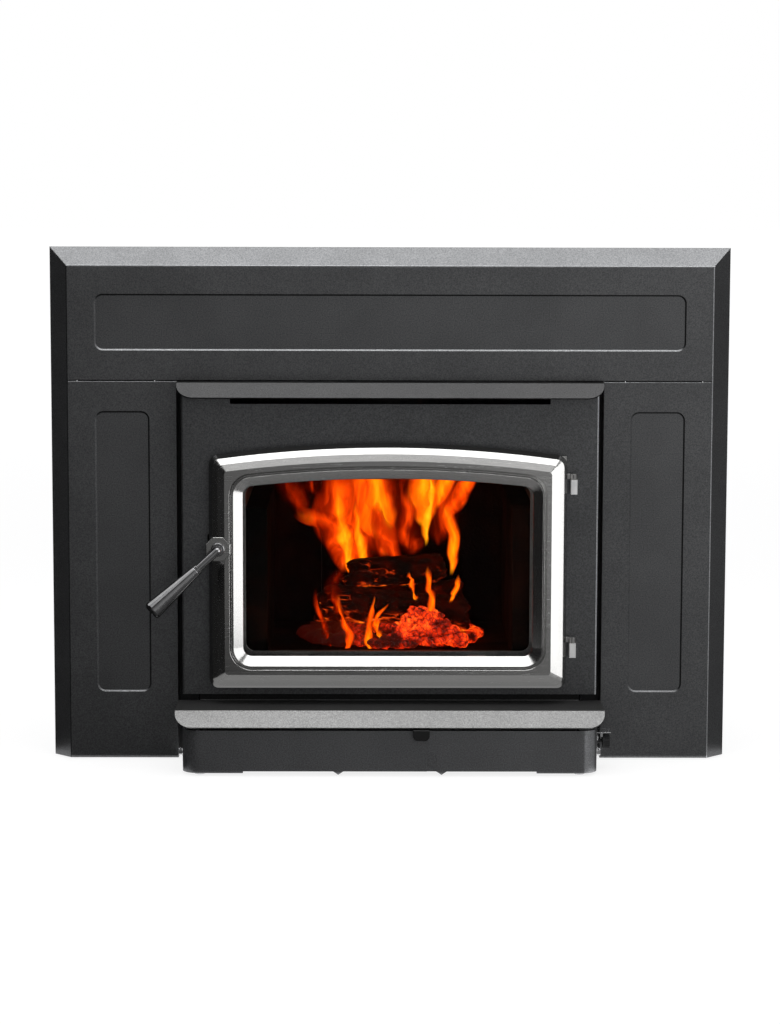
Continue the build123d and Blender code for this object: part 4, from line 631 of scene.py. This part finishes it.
# Each flame: points (x, y, z) from root to tip and its width, all in mm, then its warmth and
# the softness of its sides. The widest sheets stand at the back, the bright streaks ahead.
TONGUES = (
    # broad sheets over the logs
    (((-50, 60, 250), (-52, 60, 310), (-58, 55, 370), (-70, 50, 436)), 110, 0.4, 0.5),
    (((0, 65, 280), (-12, 65, 330), (-18, 60, 385), (-20, 55, 437)), 110, 0.38, 0.5),
    (((40, 65, 285), (34, 65, 330), (30, 60, 385), (30, 55, 437)), 100, 0.22, 0.6),
    (((78, 60, 300), (82, 60, 345), (90, 55, 390), (102, 50, 437)), 75, 0.26, 0.6),
    # the left flame with its tip
    (((-58, 20, 262), (-64, 18, 302), (-86, 16, 338), (-146, 12, 359)), 50, 0.56, 0.22),
    (((-62, 26, 268), (-78, 26, 318), (-98, 26, 352), (-90, 26, 404)), 68, 0.47, 0.3),
    (((-64, 24, 262), (-70, 22, 320), (-78, 20, 375), (-84, 18, 436)), 78, 0.52, 0.35),
    (((-56, 10, 258), (-66, 8, 300), (-74, 6, 345), (-84, 8, 395)), 26, 0.86, 0.5),
    (((-30, 8, 262), (-42, 6, 300), (-48, 6, 335), (-50, 8, 380)), 22, 0.78, 0.5),
    # the middle, bright at the top
    (((-20, 30, 310), (-30, 28, 350), (-40, 26, 390), (-48, 24, 437)), 60, 0.6, 0.5),
    (((6, 26, 330), (-10, 24, 365), (-22, 22, 400), (-26, 20, 437)), 52, 0.72, 0.6),
    (((20, 20, 275), (0, 18, 310), (-16, 16, 345), (-18, 14, 380)), 36, 0.42, 0.4),
    (((30, 18, 300), (22, 16, 330), (30, 14, 360), (18, 12, 400)), 34, 0.36, 0.4),
    # the right flame: bright head, a streak down the middle and one down its right side
    (((52, 24, 335), (54, 22, 370), (52, 20, 405), (56, 18, 438)), 62, 0.76, 0.6),
    (((58, 16, 305), (58, 14, 345), (64, 12, 385), (62, 10, 437)), 20, 0.92, 0.6),
    (((96, 14, 258), (101, 12, 300), (96, 10, 340), (82, 10, 372)), 26, 0.8, 0.5),
    (((80, 22, 345), (100, 20, 370), (118, 18, 400), (138, 16, 436)), 36, 0.58, 0.4),
    (((70, 20, 360), (84, 18, 395), (96, 16, 420), (110, 14, 438)), 34, 0.7, 0.5),
    # small tongues before the logs
    (((58, -72, 202), (66, -74, 232), (60, -72, 255), (60, -66, 290)), 15, 0.72, 0.6),
    (((42, -70, 232), (36, -70, 246), (32, -68, 262), (30, -66, 276)), 9, 0.72, 0.6),
    (((92, -62, 226), (98, -62, 240), (104, -60, 254), (106, -58, 272)), 11, 0.66, 0.5),
    (((-66, -78, 152), (-60, -80, 178), (-70, -80, 206), (-80, -76, 240)), 17, 0.66, 0.6),
    (((-26, -78, 146), (-31, -80, 176), (-29, -80, 206), (-22, -76, 240)), 13, 0.74, 0.6),
    (((-10, -76, 170), (-19, -78, 190), (-19, -78, 208), (-3, -74, 226)), 10, 0.68, 0.6),
    (((-88, -60, 150), (-98, -62, 182), (-110, -62, 214), (-114, -58, 250)), 14, 0.3, 0.5),
    (((-74, -66, 210), (-84, -64, 236), (-86, -60, 258), (-70, -50, 280)), 30, 0.24, 0.5),
    # faint glows up in the left corner
    (((-128, 60, 350), (-146, 55, 380), (-160, 50, 405), (-168, 50, 435)), 52, 0.16, 0.6),
    (((-106, 55, 372), (-118, 50, 395), (-122, 48, 415), (-118, 45, 436)), 30, 0.2, 0.6),
)


def smooth_path(points, steps):
    """Points along a Catmull-Rom curve through the given ones."""
    pts = [Vector(p) for p in points]
    pts = [pts[0] * 2 - pts[1]] + pts + [pts[-1] * 2 - pts[-2]]
    out = []
    spans = len(pts) - 3
    for k in range(steps + 1):
        place = min(k / steps * spans, spans - 1e-6)
        i, t = int(place), place - int(place)
        a, b, c, d = pts[i:i + 4]
        out.append(0.5 * ((2 * b) + (c - a) * t + (2 * a - 5 * b + 4 * c - d) * t * t
                          + (3 * b - a - 3 * c + d) * t ** 3))
    return out


def flame_half_width(width, v):
    """Half a flame's width at the share v of its path."""
    if v < FULLEST:
        swell = math.sin(math.pi * (v / FULLEST) / 2)
    else:
        swell = math.cos(math.pi * (v - FULLEST) / (1 - FULLEST) / 2) ** 0.6
    return width / 2 * (ROOT_WIDTH + (1 - ROOT_WIDTH) * swell)


def flame_tongue(bm, layers, path, width, warmth, softness, seed):
    """A curved, tapering flame along a path, bowed towards the room."""
    uv_layer, warmth_layer, softness_layer = layers
    line = smooth_path(path, FLAME_ROWS)
    grid = []
    for j, centre in enumerate(line):
        v = j / FLAME_ROWS
        ahead = line[min(j + 1, FLAME_ROWS)] - line[max(j - 1, 0)]
        side = Vector((ahead.z, 0, -ahead.x)).normalized()
        half = flame_half_width(width, v)
        row = []
        for i in range(FLAME_COLS + 1):
            u = i / FLAME_COLS
            bow = (1 - (2 * u - 1) ** 2) * min(half, MAX_BOW) * BOW_SHARE
            wave = WAVE * noise.noise(Vector((u * 2 + seed, v * 5, seed * 1.7)))
            place = centre + side * (half * (2 * u - 1)) + Vector((wave, -bow + wave, wave))
            row.append((bm.verts.new(place), u, v))
        grid.append(row)
    for below, above in zip(grid, grid[1:]):
        for i in range(FLAME_COLS):
            ring = (below[i], below[i + 1], above[i + 1], above[i])
            face = bm.faces.new([vert for vert, _, _ in ring])
            face.smooth = True
            for loop, (vert, u, v) in zip(face.loops, ring):
                loop[uv_layer].uv = (u, v)
                vert[warmth_layer] = warmth
                vert[softness_layer] = softness


def make_flames():
    """All the flames, as one piece that casts no shadow."""
    bm = bmesh.new()
    floats = bm.verts.layers.float
    layers = (bm.loops.layers.uv.new("UVMap"), floats.new("warmth"), floats.new("softness"))
    for k, (path, width, warmth, softness) in enumerate(TONGUES):
        path = [tuple(c / 1000 for c in point) for point in path]
        flame_tongue(bm, layers, path, width / 1000, warmth, softness, k * SEED_STEP)
    piece = new_piece("flames", bm, flame_sheet())
    piece.visible_shadow = False
    return piece


# Each log: name, centre, length, radius, turn and tilt in degrees, seed.
LOGS = (
    ("log_front", (0.010, -0.036, 0.2140), 0.236, 0.0310, 5, 2.5, 1.3),
    ("log_back", (0.000, 0.042, 0.2145), 0.240, 0.0310, -3, -1.5, 4.7),
    ("log_top", (0.012, 0.003, 0.2690), 0.160, 0.0260, 20, -7, 8.1),
    ("log_stub", (-0.044, -0.040, 0.2560), 0.062, 0.0150, -24, -9, 12.4),
)
LOG_SIDES = 64
LOG_ROWS_PER_METRE, LOG_MIN_ROWS = 420, 24
LOG_BOW = 0.006
TAPERED_END, TIP_RADIUS, TAPER_RADIUS = 0.014, 0.8, 0.2  # its length, and shares of the radius
RAGGED_END, SNAP_DEPTH = 0.03, 0.010
BARK_RADIUS, SWELL, RIDGE, CHECK = 0.79, 0.13, 0.05, 0.07  # shares of the radius
CHECK_WIDTH = 0.32  # of a cell of the pattern
CAP_STEPS = 5
CAP_SUNK, CAP_ROUGH, CAP_GRAIN = 0.002, 0.004, 90


def bark_point(x, angle, end, radius, bow, seed):
    """A place on a log's bark, end away from its nearer end, and how clear of checks it is."""
    c, d = math.cos(angle), math.sin(angle)
    swell = noise.noise(Vector((x * 11 + seed, c * 1.5, d * 1.5 + seed)))
    ridge = noise.noise(Vector((x * 30 + seed, c * 5, d * 5)))
    (near, far, *_), _ = noise.voronoi(Vector((x * 44 + seed, c * 2.6 + seed, d * 2.6)))
    check = min(1.0, (far - near) / CHECK_WIDTH)
    snapped = SNAP_DEPTH * (0.5 + noise.noise(Vector((c * 2.3, d * 2.3, seed + (x > 0) * 5))))
    taper = 1.0
    if end <= TAPERED_END:
        taper = TIP_RADIUS + TAPER_RADIUS * math.sqrt(end / TAPERED_END)
    r = radius * taper * (BARK_RADIUS + SWELL * swell + RIDGE * ridge + CHECK * check)
    pull = snapped * (1 - end / RAGGED_END) if end < RAGGED_END else 0.0
    return (x - math.copysign(pull, x), r * c, r * d + bow), check


def close_end(bm, checks_layer, ring, way, seed):
    """Closes a log's end with a rough, slightly sunken face; way is the end's side in x."""
    inner = ring
    for step in range(1, CAP_STEPS):
        share = 1 - step / CAP_STEPS
        sunken = []
        for start in ring:
            depth = CAP_ROUGH * noise.noise(start.co * CAP_GRAIN + Vector((step, seed, 0)))
            x = start.co.x - way * (CAP_SUNK + abs(depth))
            sunk = bm.verts.new((x, start.co.y * share, start.co.z * share))
            sunk[checks_layer] = 0.6 + 40 * depth
            sunken.append(sunk)
        for i in range(LOG_SIDES):
            k = (i + 1) % LOG_SIDES
            quad = (inner[i], inner[k], sunken[k], sunken[i])
            bm.faces.new(quad if way > 0 else quad[::-1])
        inner = sunken
    bm.faces.new(inner if way > 0 else inner[::-1])


def make_log(name, centre, length, radius, turn, tilt, seed, material):
    """A charred log: ridged round the side, ragged at both ends."""
    bm = bmesh.new()
    checks_layer = bm.verts.layers.float.new("checks")
    rows = max(LOG_MIN_ROWS, int(length * LOG_ROWS_PER_METRE))
    rings = []
    for j in range(rows + 1):
        t = j / rows
        bow = LOG_BOW * math.sin(t * math.pi + seed)
        ring = []
        for i in range(LOG_SIDES):
            angle = 2 * math.pi * i / LOG_SIDES
            x, end = (t - 0.5) * length, min(t, 1 - t) * length
            place, check = bark_point(x, angle, end, radius, bow, seed)
            vert = bm.verts.new(place)
            vert[checks_layer] = check
            ring.append(vert)
        rings.append(ring)
    for ring, following in zip(rings, rings[1:]):
        for i in range(LOG_SIDES):
            k = (i + 1) % LOG_SIDES
            face = bm.faces.new((ring[i], following[i], following[k], ring[k]))
            face.smooth = True
    close_end(bm, checks_layer, rings[0], -1, seed)
    close_end(bm, checks_layer, rings[-1], 1, seed)
    bmesh.ops.recalc_face_normals(bm, faces=bm.faces)
    turned = Matrix.Translation(centre) @ Matrix.Rotation(math.radians(turn), 4, "Z")
    bm.transform(turned @ Matrix.Rotation(math.radians(tilt), 4, "Y"))
    return new_piece(name, bm, material)


COAL_BULGE, COAL_GRAIN = 0.34, 110
BED_SEED, BED_TRIES, BED_SIZES = 7, 330, (0.008, 0.019)
BED_MARGIN = 0.014  # between the bed's box and the middles of its outer coals
BED_CROWN, BED_LOWEST = 0.030, 0.009  # heights of the coals' middles
SLOPE_SEED, SLOPE_COALS, SLOPE_SIZES = 19, 190, (0.0055, 0.0110)
SLOPE_FOOT, SLOPE_RISE = (0.054, -0.097, 0.168), (-0.004, 0.030, 0.050)
SLOPE_HALF_WIDTH = 0.072
SLOPE_FLOOR = 0.1605


def coal_chip(bm, rng, spot, size, seed, floor_z):
    """One irregular chip of coal, flattened where it would pass below floor_z."""
    made = bmesh.ops.create_icosphere(bm, subdivisions=2, radius=size)
    squash = Vector((rng.uniform(0.7, 1.2), rng.uniform(0.7, 1.1), rng.uniform(0.5, 0.8)))
    turn = Matrix.Rotation(rng.uniform(0, math.tau), 3, "Z")
    turn = turn @ Matrix.Rotation(rng.uniform(-0.6, 0.6), 3, "X")
    for vert in made["verts"]:
        bulge = 1 + COAL_BULGE * noise.noise(vert.co * COAL_GRAIN + Vector((seed, 0, seed)))
        vert.co = spot + turn @ (vert.co * squash * bulge)
        vert.co.z = max(vert.co.z, floor_z)


def make_embers(material):
    """A bed of coals in the place of the solid one, higher in the middle."""
    rng = random.Random(BED_SEED)
    bm = bmesh.new()
    low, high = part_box("ember_bed")
    centre, half = (low + high) / 2, (high - low) / 2
    for k in range(BED_TRIES):
        u, w = rng.uniform(-1, 1), rng.uniform(-1, 1)
        if u * u + w * w > 1.05:
            continue
        size = rng.uniform(*BED_SIZES)
        crown = BED_CROWN * (1 - 0.9 * (u * u + w * w)) + rng.uniform(-0.008, 0.004)
        x = centre.x + u * (half.x - BED_MARGIN)
        y = centre.y + w * (half.y - BED_MARGIN)
        spot = Vector((x, y, low.z + max(BED_LOWEST, crown)))
        coal_chip(bm, rng, spot, size, k, low.z + 0.0005)
    return new_piece("embers", bm, material)


def make_coal_slope(material):
    """Coals heaped against the front log, on the bed, to the right of the middle."""
    rng = random.Random(SLOPE_SEED)
    bm = bmesh.new()
    for k in range(SLOPE_COALS):
        up = rng.uniform(0, 1) ** 1.15
        x, y, z = (foot + rise * up for foot, rise in zip(SLOPE_FOOT, SLOPE_RISE))
        spread = SLOPE_HALF_WIDTH * (1 - 0.78 * up)
        x += rng.uniform(-spread, spread)
        y += rng.uniform(-0.003, 0.003)
        coal_chip(bm, rng, Vector((x, y, z)), rng.uniform(*SLOPE_SIZES), k, SLOPE_FLOOR)
    return new_piece("coal_slope", bm, material)


bark = charred_bark()
coal = glowing_coal()
embers = make_embers(coal)
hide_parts("ember_bed")
logs = [make_log(*entry, bark) for entry in LOGS]
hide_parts("burning_logs")
slope = make_coal_slope(coal)
flames = make_flames()


# ---- Studio: cards -------------------------------------------------------------------------
def stage_sheet(name, corners):
    """A four-cornered sheet of the studio, and the nodes of its material."""
    mesh = bpy.data.meshes.new(name)
    mesh.from_pydata([Vector(c) for c in corners], [], [(0, 1, 2, 3)])
    sheet = bpy.data.objects.new(name, mesh)
    scene.collection.objects.link(sheet)
    material = bpy.data.materials.new(name)
    mesh.materials.append(material)
    return sheet, Nodes(material)


CARD_Z = 0.004


def make_card(name, corners, grey, grey_right=None, reach=1.2, seen_by=()):
    """A card that only glossy reflections see.

    It goes from grey at x = -reach to grey_right at x = reach. Where seen_by names nodes, it
    lights those alone, and the others look through it."""
    card, s = stage_sheet(name, corners)
    glow = s.add("ShaderNodeEmission")
    if grey_right is None:
        s.feed(glow.inputs[0], (grey, grey, grey))
    else:
        x = s.parts(s.place())[0]
        s.feed(glow.inputs[0], s.span(x, (-reach, reach), (grey, grey_right), smooth=False))
    shader = glow.outputs[0]
    if seen_by:
        shader = s.sum_of(shader, s.add("ShaderNodeBsdfTransparent").outputs[0])
        receivers = bpy.data.collections.new(name + "_receivers")
        for receiver in seen_by:
            receivers.objects.link(nodes[receiver])
        card.light_linking.receiver_collection = receivers
    s.join(shader, s.add("ShaderNodeOutputMaterial").inputs[0])
    card.visible_camera = False
    card.visible_diffuse = False
    card.visible_transmission = False
    card.visible_shadow = False


def flat_card(name, x, y, *tones, z=CARD_Z, **more):
    """A level card between two x and two y places."""
    corners = ((x[0], y[1], z), (x[1], y[1], z), (x[1], y[0], z), (x[0], y[0], z))
    make_card(name, corners, *tones, **more)


def wall_card(name, start, end, height, *tones, **more):
    """An upright card on the floor between two (x, y) places."""
    corners = ((*start, 0.0), (*end, 0.0), (*end, height), (*start, height))
    make_card(name, corners, *tones, **more)


SIDE = 6.0  # half the width of the widest cards
FRONT, MIDDLE, HOUSING, PANEL = -5.5, -1.6, -0.262, -0.139  # from the room to the surround
FEET_FRONT, FEET_BACK = -0.33, 2.0  # the floor beside the insert
EDGE, BODY_EDGE = 0.53, 0.317  # past the surround's side and at the body's side
LEFT, RIGHT, WALL_BACK, WALL_TOP = -3.2, 3.6, 3.5, 4.6
HANDLE = ("handle_rod", "handle_grip")

flat_card("card_floor", (-SIDE, SIDE), (FRONT, MIDDLE), 0.10, 0.40, reach=0.95)
flat_card("card_floor_near", (-SIDE, SIDE), (MIDDLE, HOUSING), 0.02, 0.24, reach=0.5)
flat_card("card_foot_left", (-EDGE, -BODY_EDGE), (HOUSING, PANEL), 0.02)
flat_card("card_foot_right", (BODY_EDGE, EDGE), (HOUSING, PANEL), 0.18)
wall_card("card_front", (-SIDE, FRONT), (SIDE, FRONT), 5.0, 0.12, 0.46, reach=1.1)
flat_card("card_floor_left", (-SIDE, -EDGE), (FEET_FRONT, FEET_BACK), 0.02)
flat_card("card_floor_right", (EDGE, SIDE), (FEET_FRONT, FEET_BACK), 0.12)
wall_card("card_left", (LEFT, FRONT), (LEFT, WALL_BACK), WALL_TOP, 0.02)
wall_card("card_right", (RIGHT, FRONT), (RIGHT, WALL_BACK), WALL_TOP, 0.12)
# Bright right bevels of the door, the handle's gloss, and the grey of the door's low bevel.
wall_card("card_door", (0.75, -1.7), (0.75, 0.3), 0.9, 2.4,
          seen_by=("door_frame", "latch_boss", *HANDLE))
flat_card("card_handle", (-3.0, -1.0), (-0.7, 1.4), 1.3, z=2.2, seen_by=(*HANDLE, "latch_boss"))
flat_card("card_door_low", (-0.3, 0.3), (-0.26, -0.18), 0.34, z=0.1176, seen_by=("door_frame",))


# ---- Studio: light, background and floor ---------------------------------------------------
FILL = (0.5, 0.5, 0.51)
WHITE = (1, 1, 1)
FLOOR_REACH = 40.0
FLOOR_Z = -0.0002
FLOOR_GREY = (0.8, 0.8, 0.8)
SHADOW_GREY = (0.24, 0.24, 0.24)  # the lit share of the floor where it is seen
FLOOR_GLOW = (0.83, 0.91)  # its own light near and far off, where less light falls on it
GLOW_RANGE = (2.0, 7.0)


def softbox(name, place, target, size, radiance):
    """A rectangular lamp that looks at a target."""
    lamp = bpy.data.lights.new(name, "AREA")
    lamp.shape = "RECTANGLE"
    lamp.size, lamp.size_y = size
    lamp.energy = radiance * math.pi * size[0] * size[1]
    holder = bpy.data.objects.new(name, lamp)
    scene.collection.objects.link(holder)
    holder.location = place
    look = Vector(target) - Vector(place)
    holder.rotation_euler = look.to_track_quat("-Z", "Y").to_euler()


def make_world():
    """White where it is seen, and a soft even fill for the rest."""
    world = bpy.data.worlds.new("studio")
    scene.world = world
    s = Nodes(world)
    fill, white = s.add("ShaderNodeBackground"), s.add("ShaderNodeBackground")
    s.feed(fill.inputs[0], FILL)
    s.feed(white.inputs[0], WHITE)
    blend = s.add("ShaderNodeMixShader")
    for socket, out in zip(blend.inputs, (s.seen_rays(), fill.outputs[0], white.outputs[0])):
        s.join(out, socket)
    s.join(blend.outputs[0], s.add("ShaderNodeOutputWorld").inputs[0])


def make_floor():
    """A plain pale floor: white where it is seen, with the shadow of the insert kept on it."""
    reach = FLOOR_REACH
    corners = ((-reach, -reach, 0), (reach, -reach, 0), (reach, reach, 0), (-reach, reach, 0))
    floor, s = stage_sheet("floor", corners)
    floor.location.z = FLOOR_Z
    matte, glow = s.add("ShaderNodeBsdfDiffuse"), s.add("ShaderNodeEmission")
    seen = s.seen_rays()
    s.feed(matte.inputs[0], s.mix(seen, FLOOR_GREY, SHADOW_GREY))
    away = s.add("ShaderNodeVectorMath", operation="LENGTH")
    s.join(s.place(), away.inputs[0])
    level = s.span(away.outputs["Value"], GLOW_RANGE, FLOOR_GLOW, smooth=False)
    s.feed(glow.inputs[0], WHITE)
    s.feed(glow.inputs[1], s.product(seen, level))
    shader = s.sum_of(matte.outputs[0], glow.outputs[0])
    s.join(shader, s.add("ShaderNodeOutputMaterial").inputs[0])


softbox("overhead", place=(0.0, -0.62, 3.1), target=(0.0, -0.5, 0.0), size=(3.6, 1.7),
        radiance=2.75)
softbox("right_box", place=(2.9, -3.0, 1.5), target=(0.0, -0.1, 0.4), size=(1.6, 2.2),
        radiance=0.7)
make_world()
make_floor()


# ---- Camera --------------------------------------------------------------------------------
CAMERA_PLACE = (-0.0316, -4.3024, 0.8804)
PITCH, YAW, ROLL = (math.radians(degrees) for degrees in (6.897, 0.437, -0.148))
LENS, SENSOR = 98.4375, 36.0  # mm


def make_camera():
    """The photo's camera, from the fit to the insert's corners."""
    ahead = Vector((math.sin(YAW) * math.cos(PITCH), math.cos(YAW) * math.cos(PITCH),
                    -math.sin(PITCH)))
    right = Vector((math.cos(YAW), -math.sin(YAW), 0))
    down = ahead.cross(right)
    across = math.cos(ROLL) * right + math.sin(ROLL) * down
    lower = -math.sin(ROLL) * right + math.cos(ROLL) * down
    camera = bpy.data.cameras.new("camera")
    camera.lens = LENS
    camera.sensor_fit = "VERTICAL"
    camera.sensor_height = SENSOR
    camera.sensor_width = SENSOR
    camera.clip_end = 200.0
    holder = bpy.data.objects.new("camera", camera)
    scene.collection.objects.link(holder)
    turn = Matrix((across, -lower, -ahead)).transposed().to_4x4()
    holder.matrix_world = Matrix.Translation(CAMERA_PLACE) @ turn
    scene.camera = holder


make_camera()

bpy.context.view_layer.update()
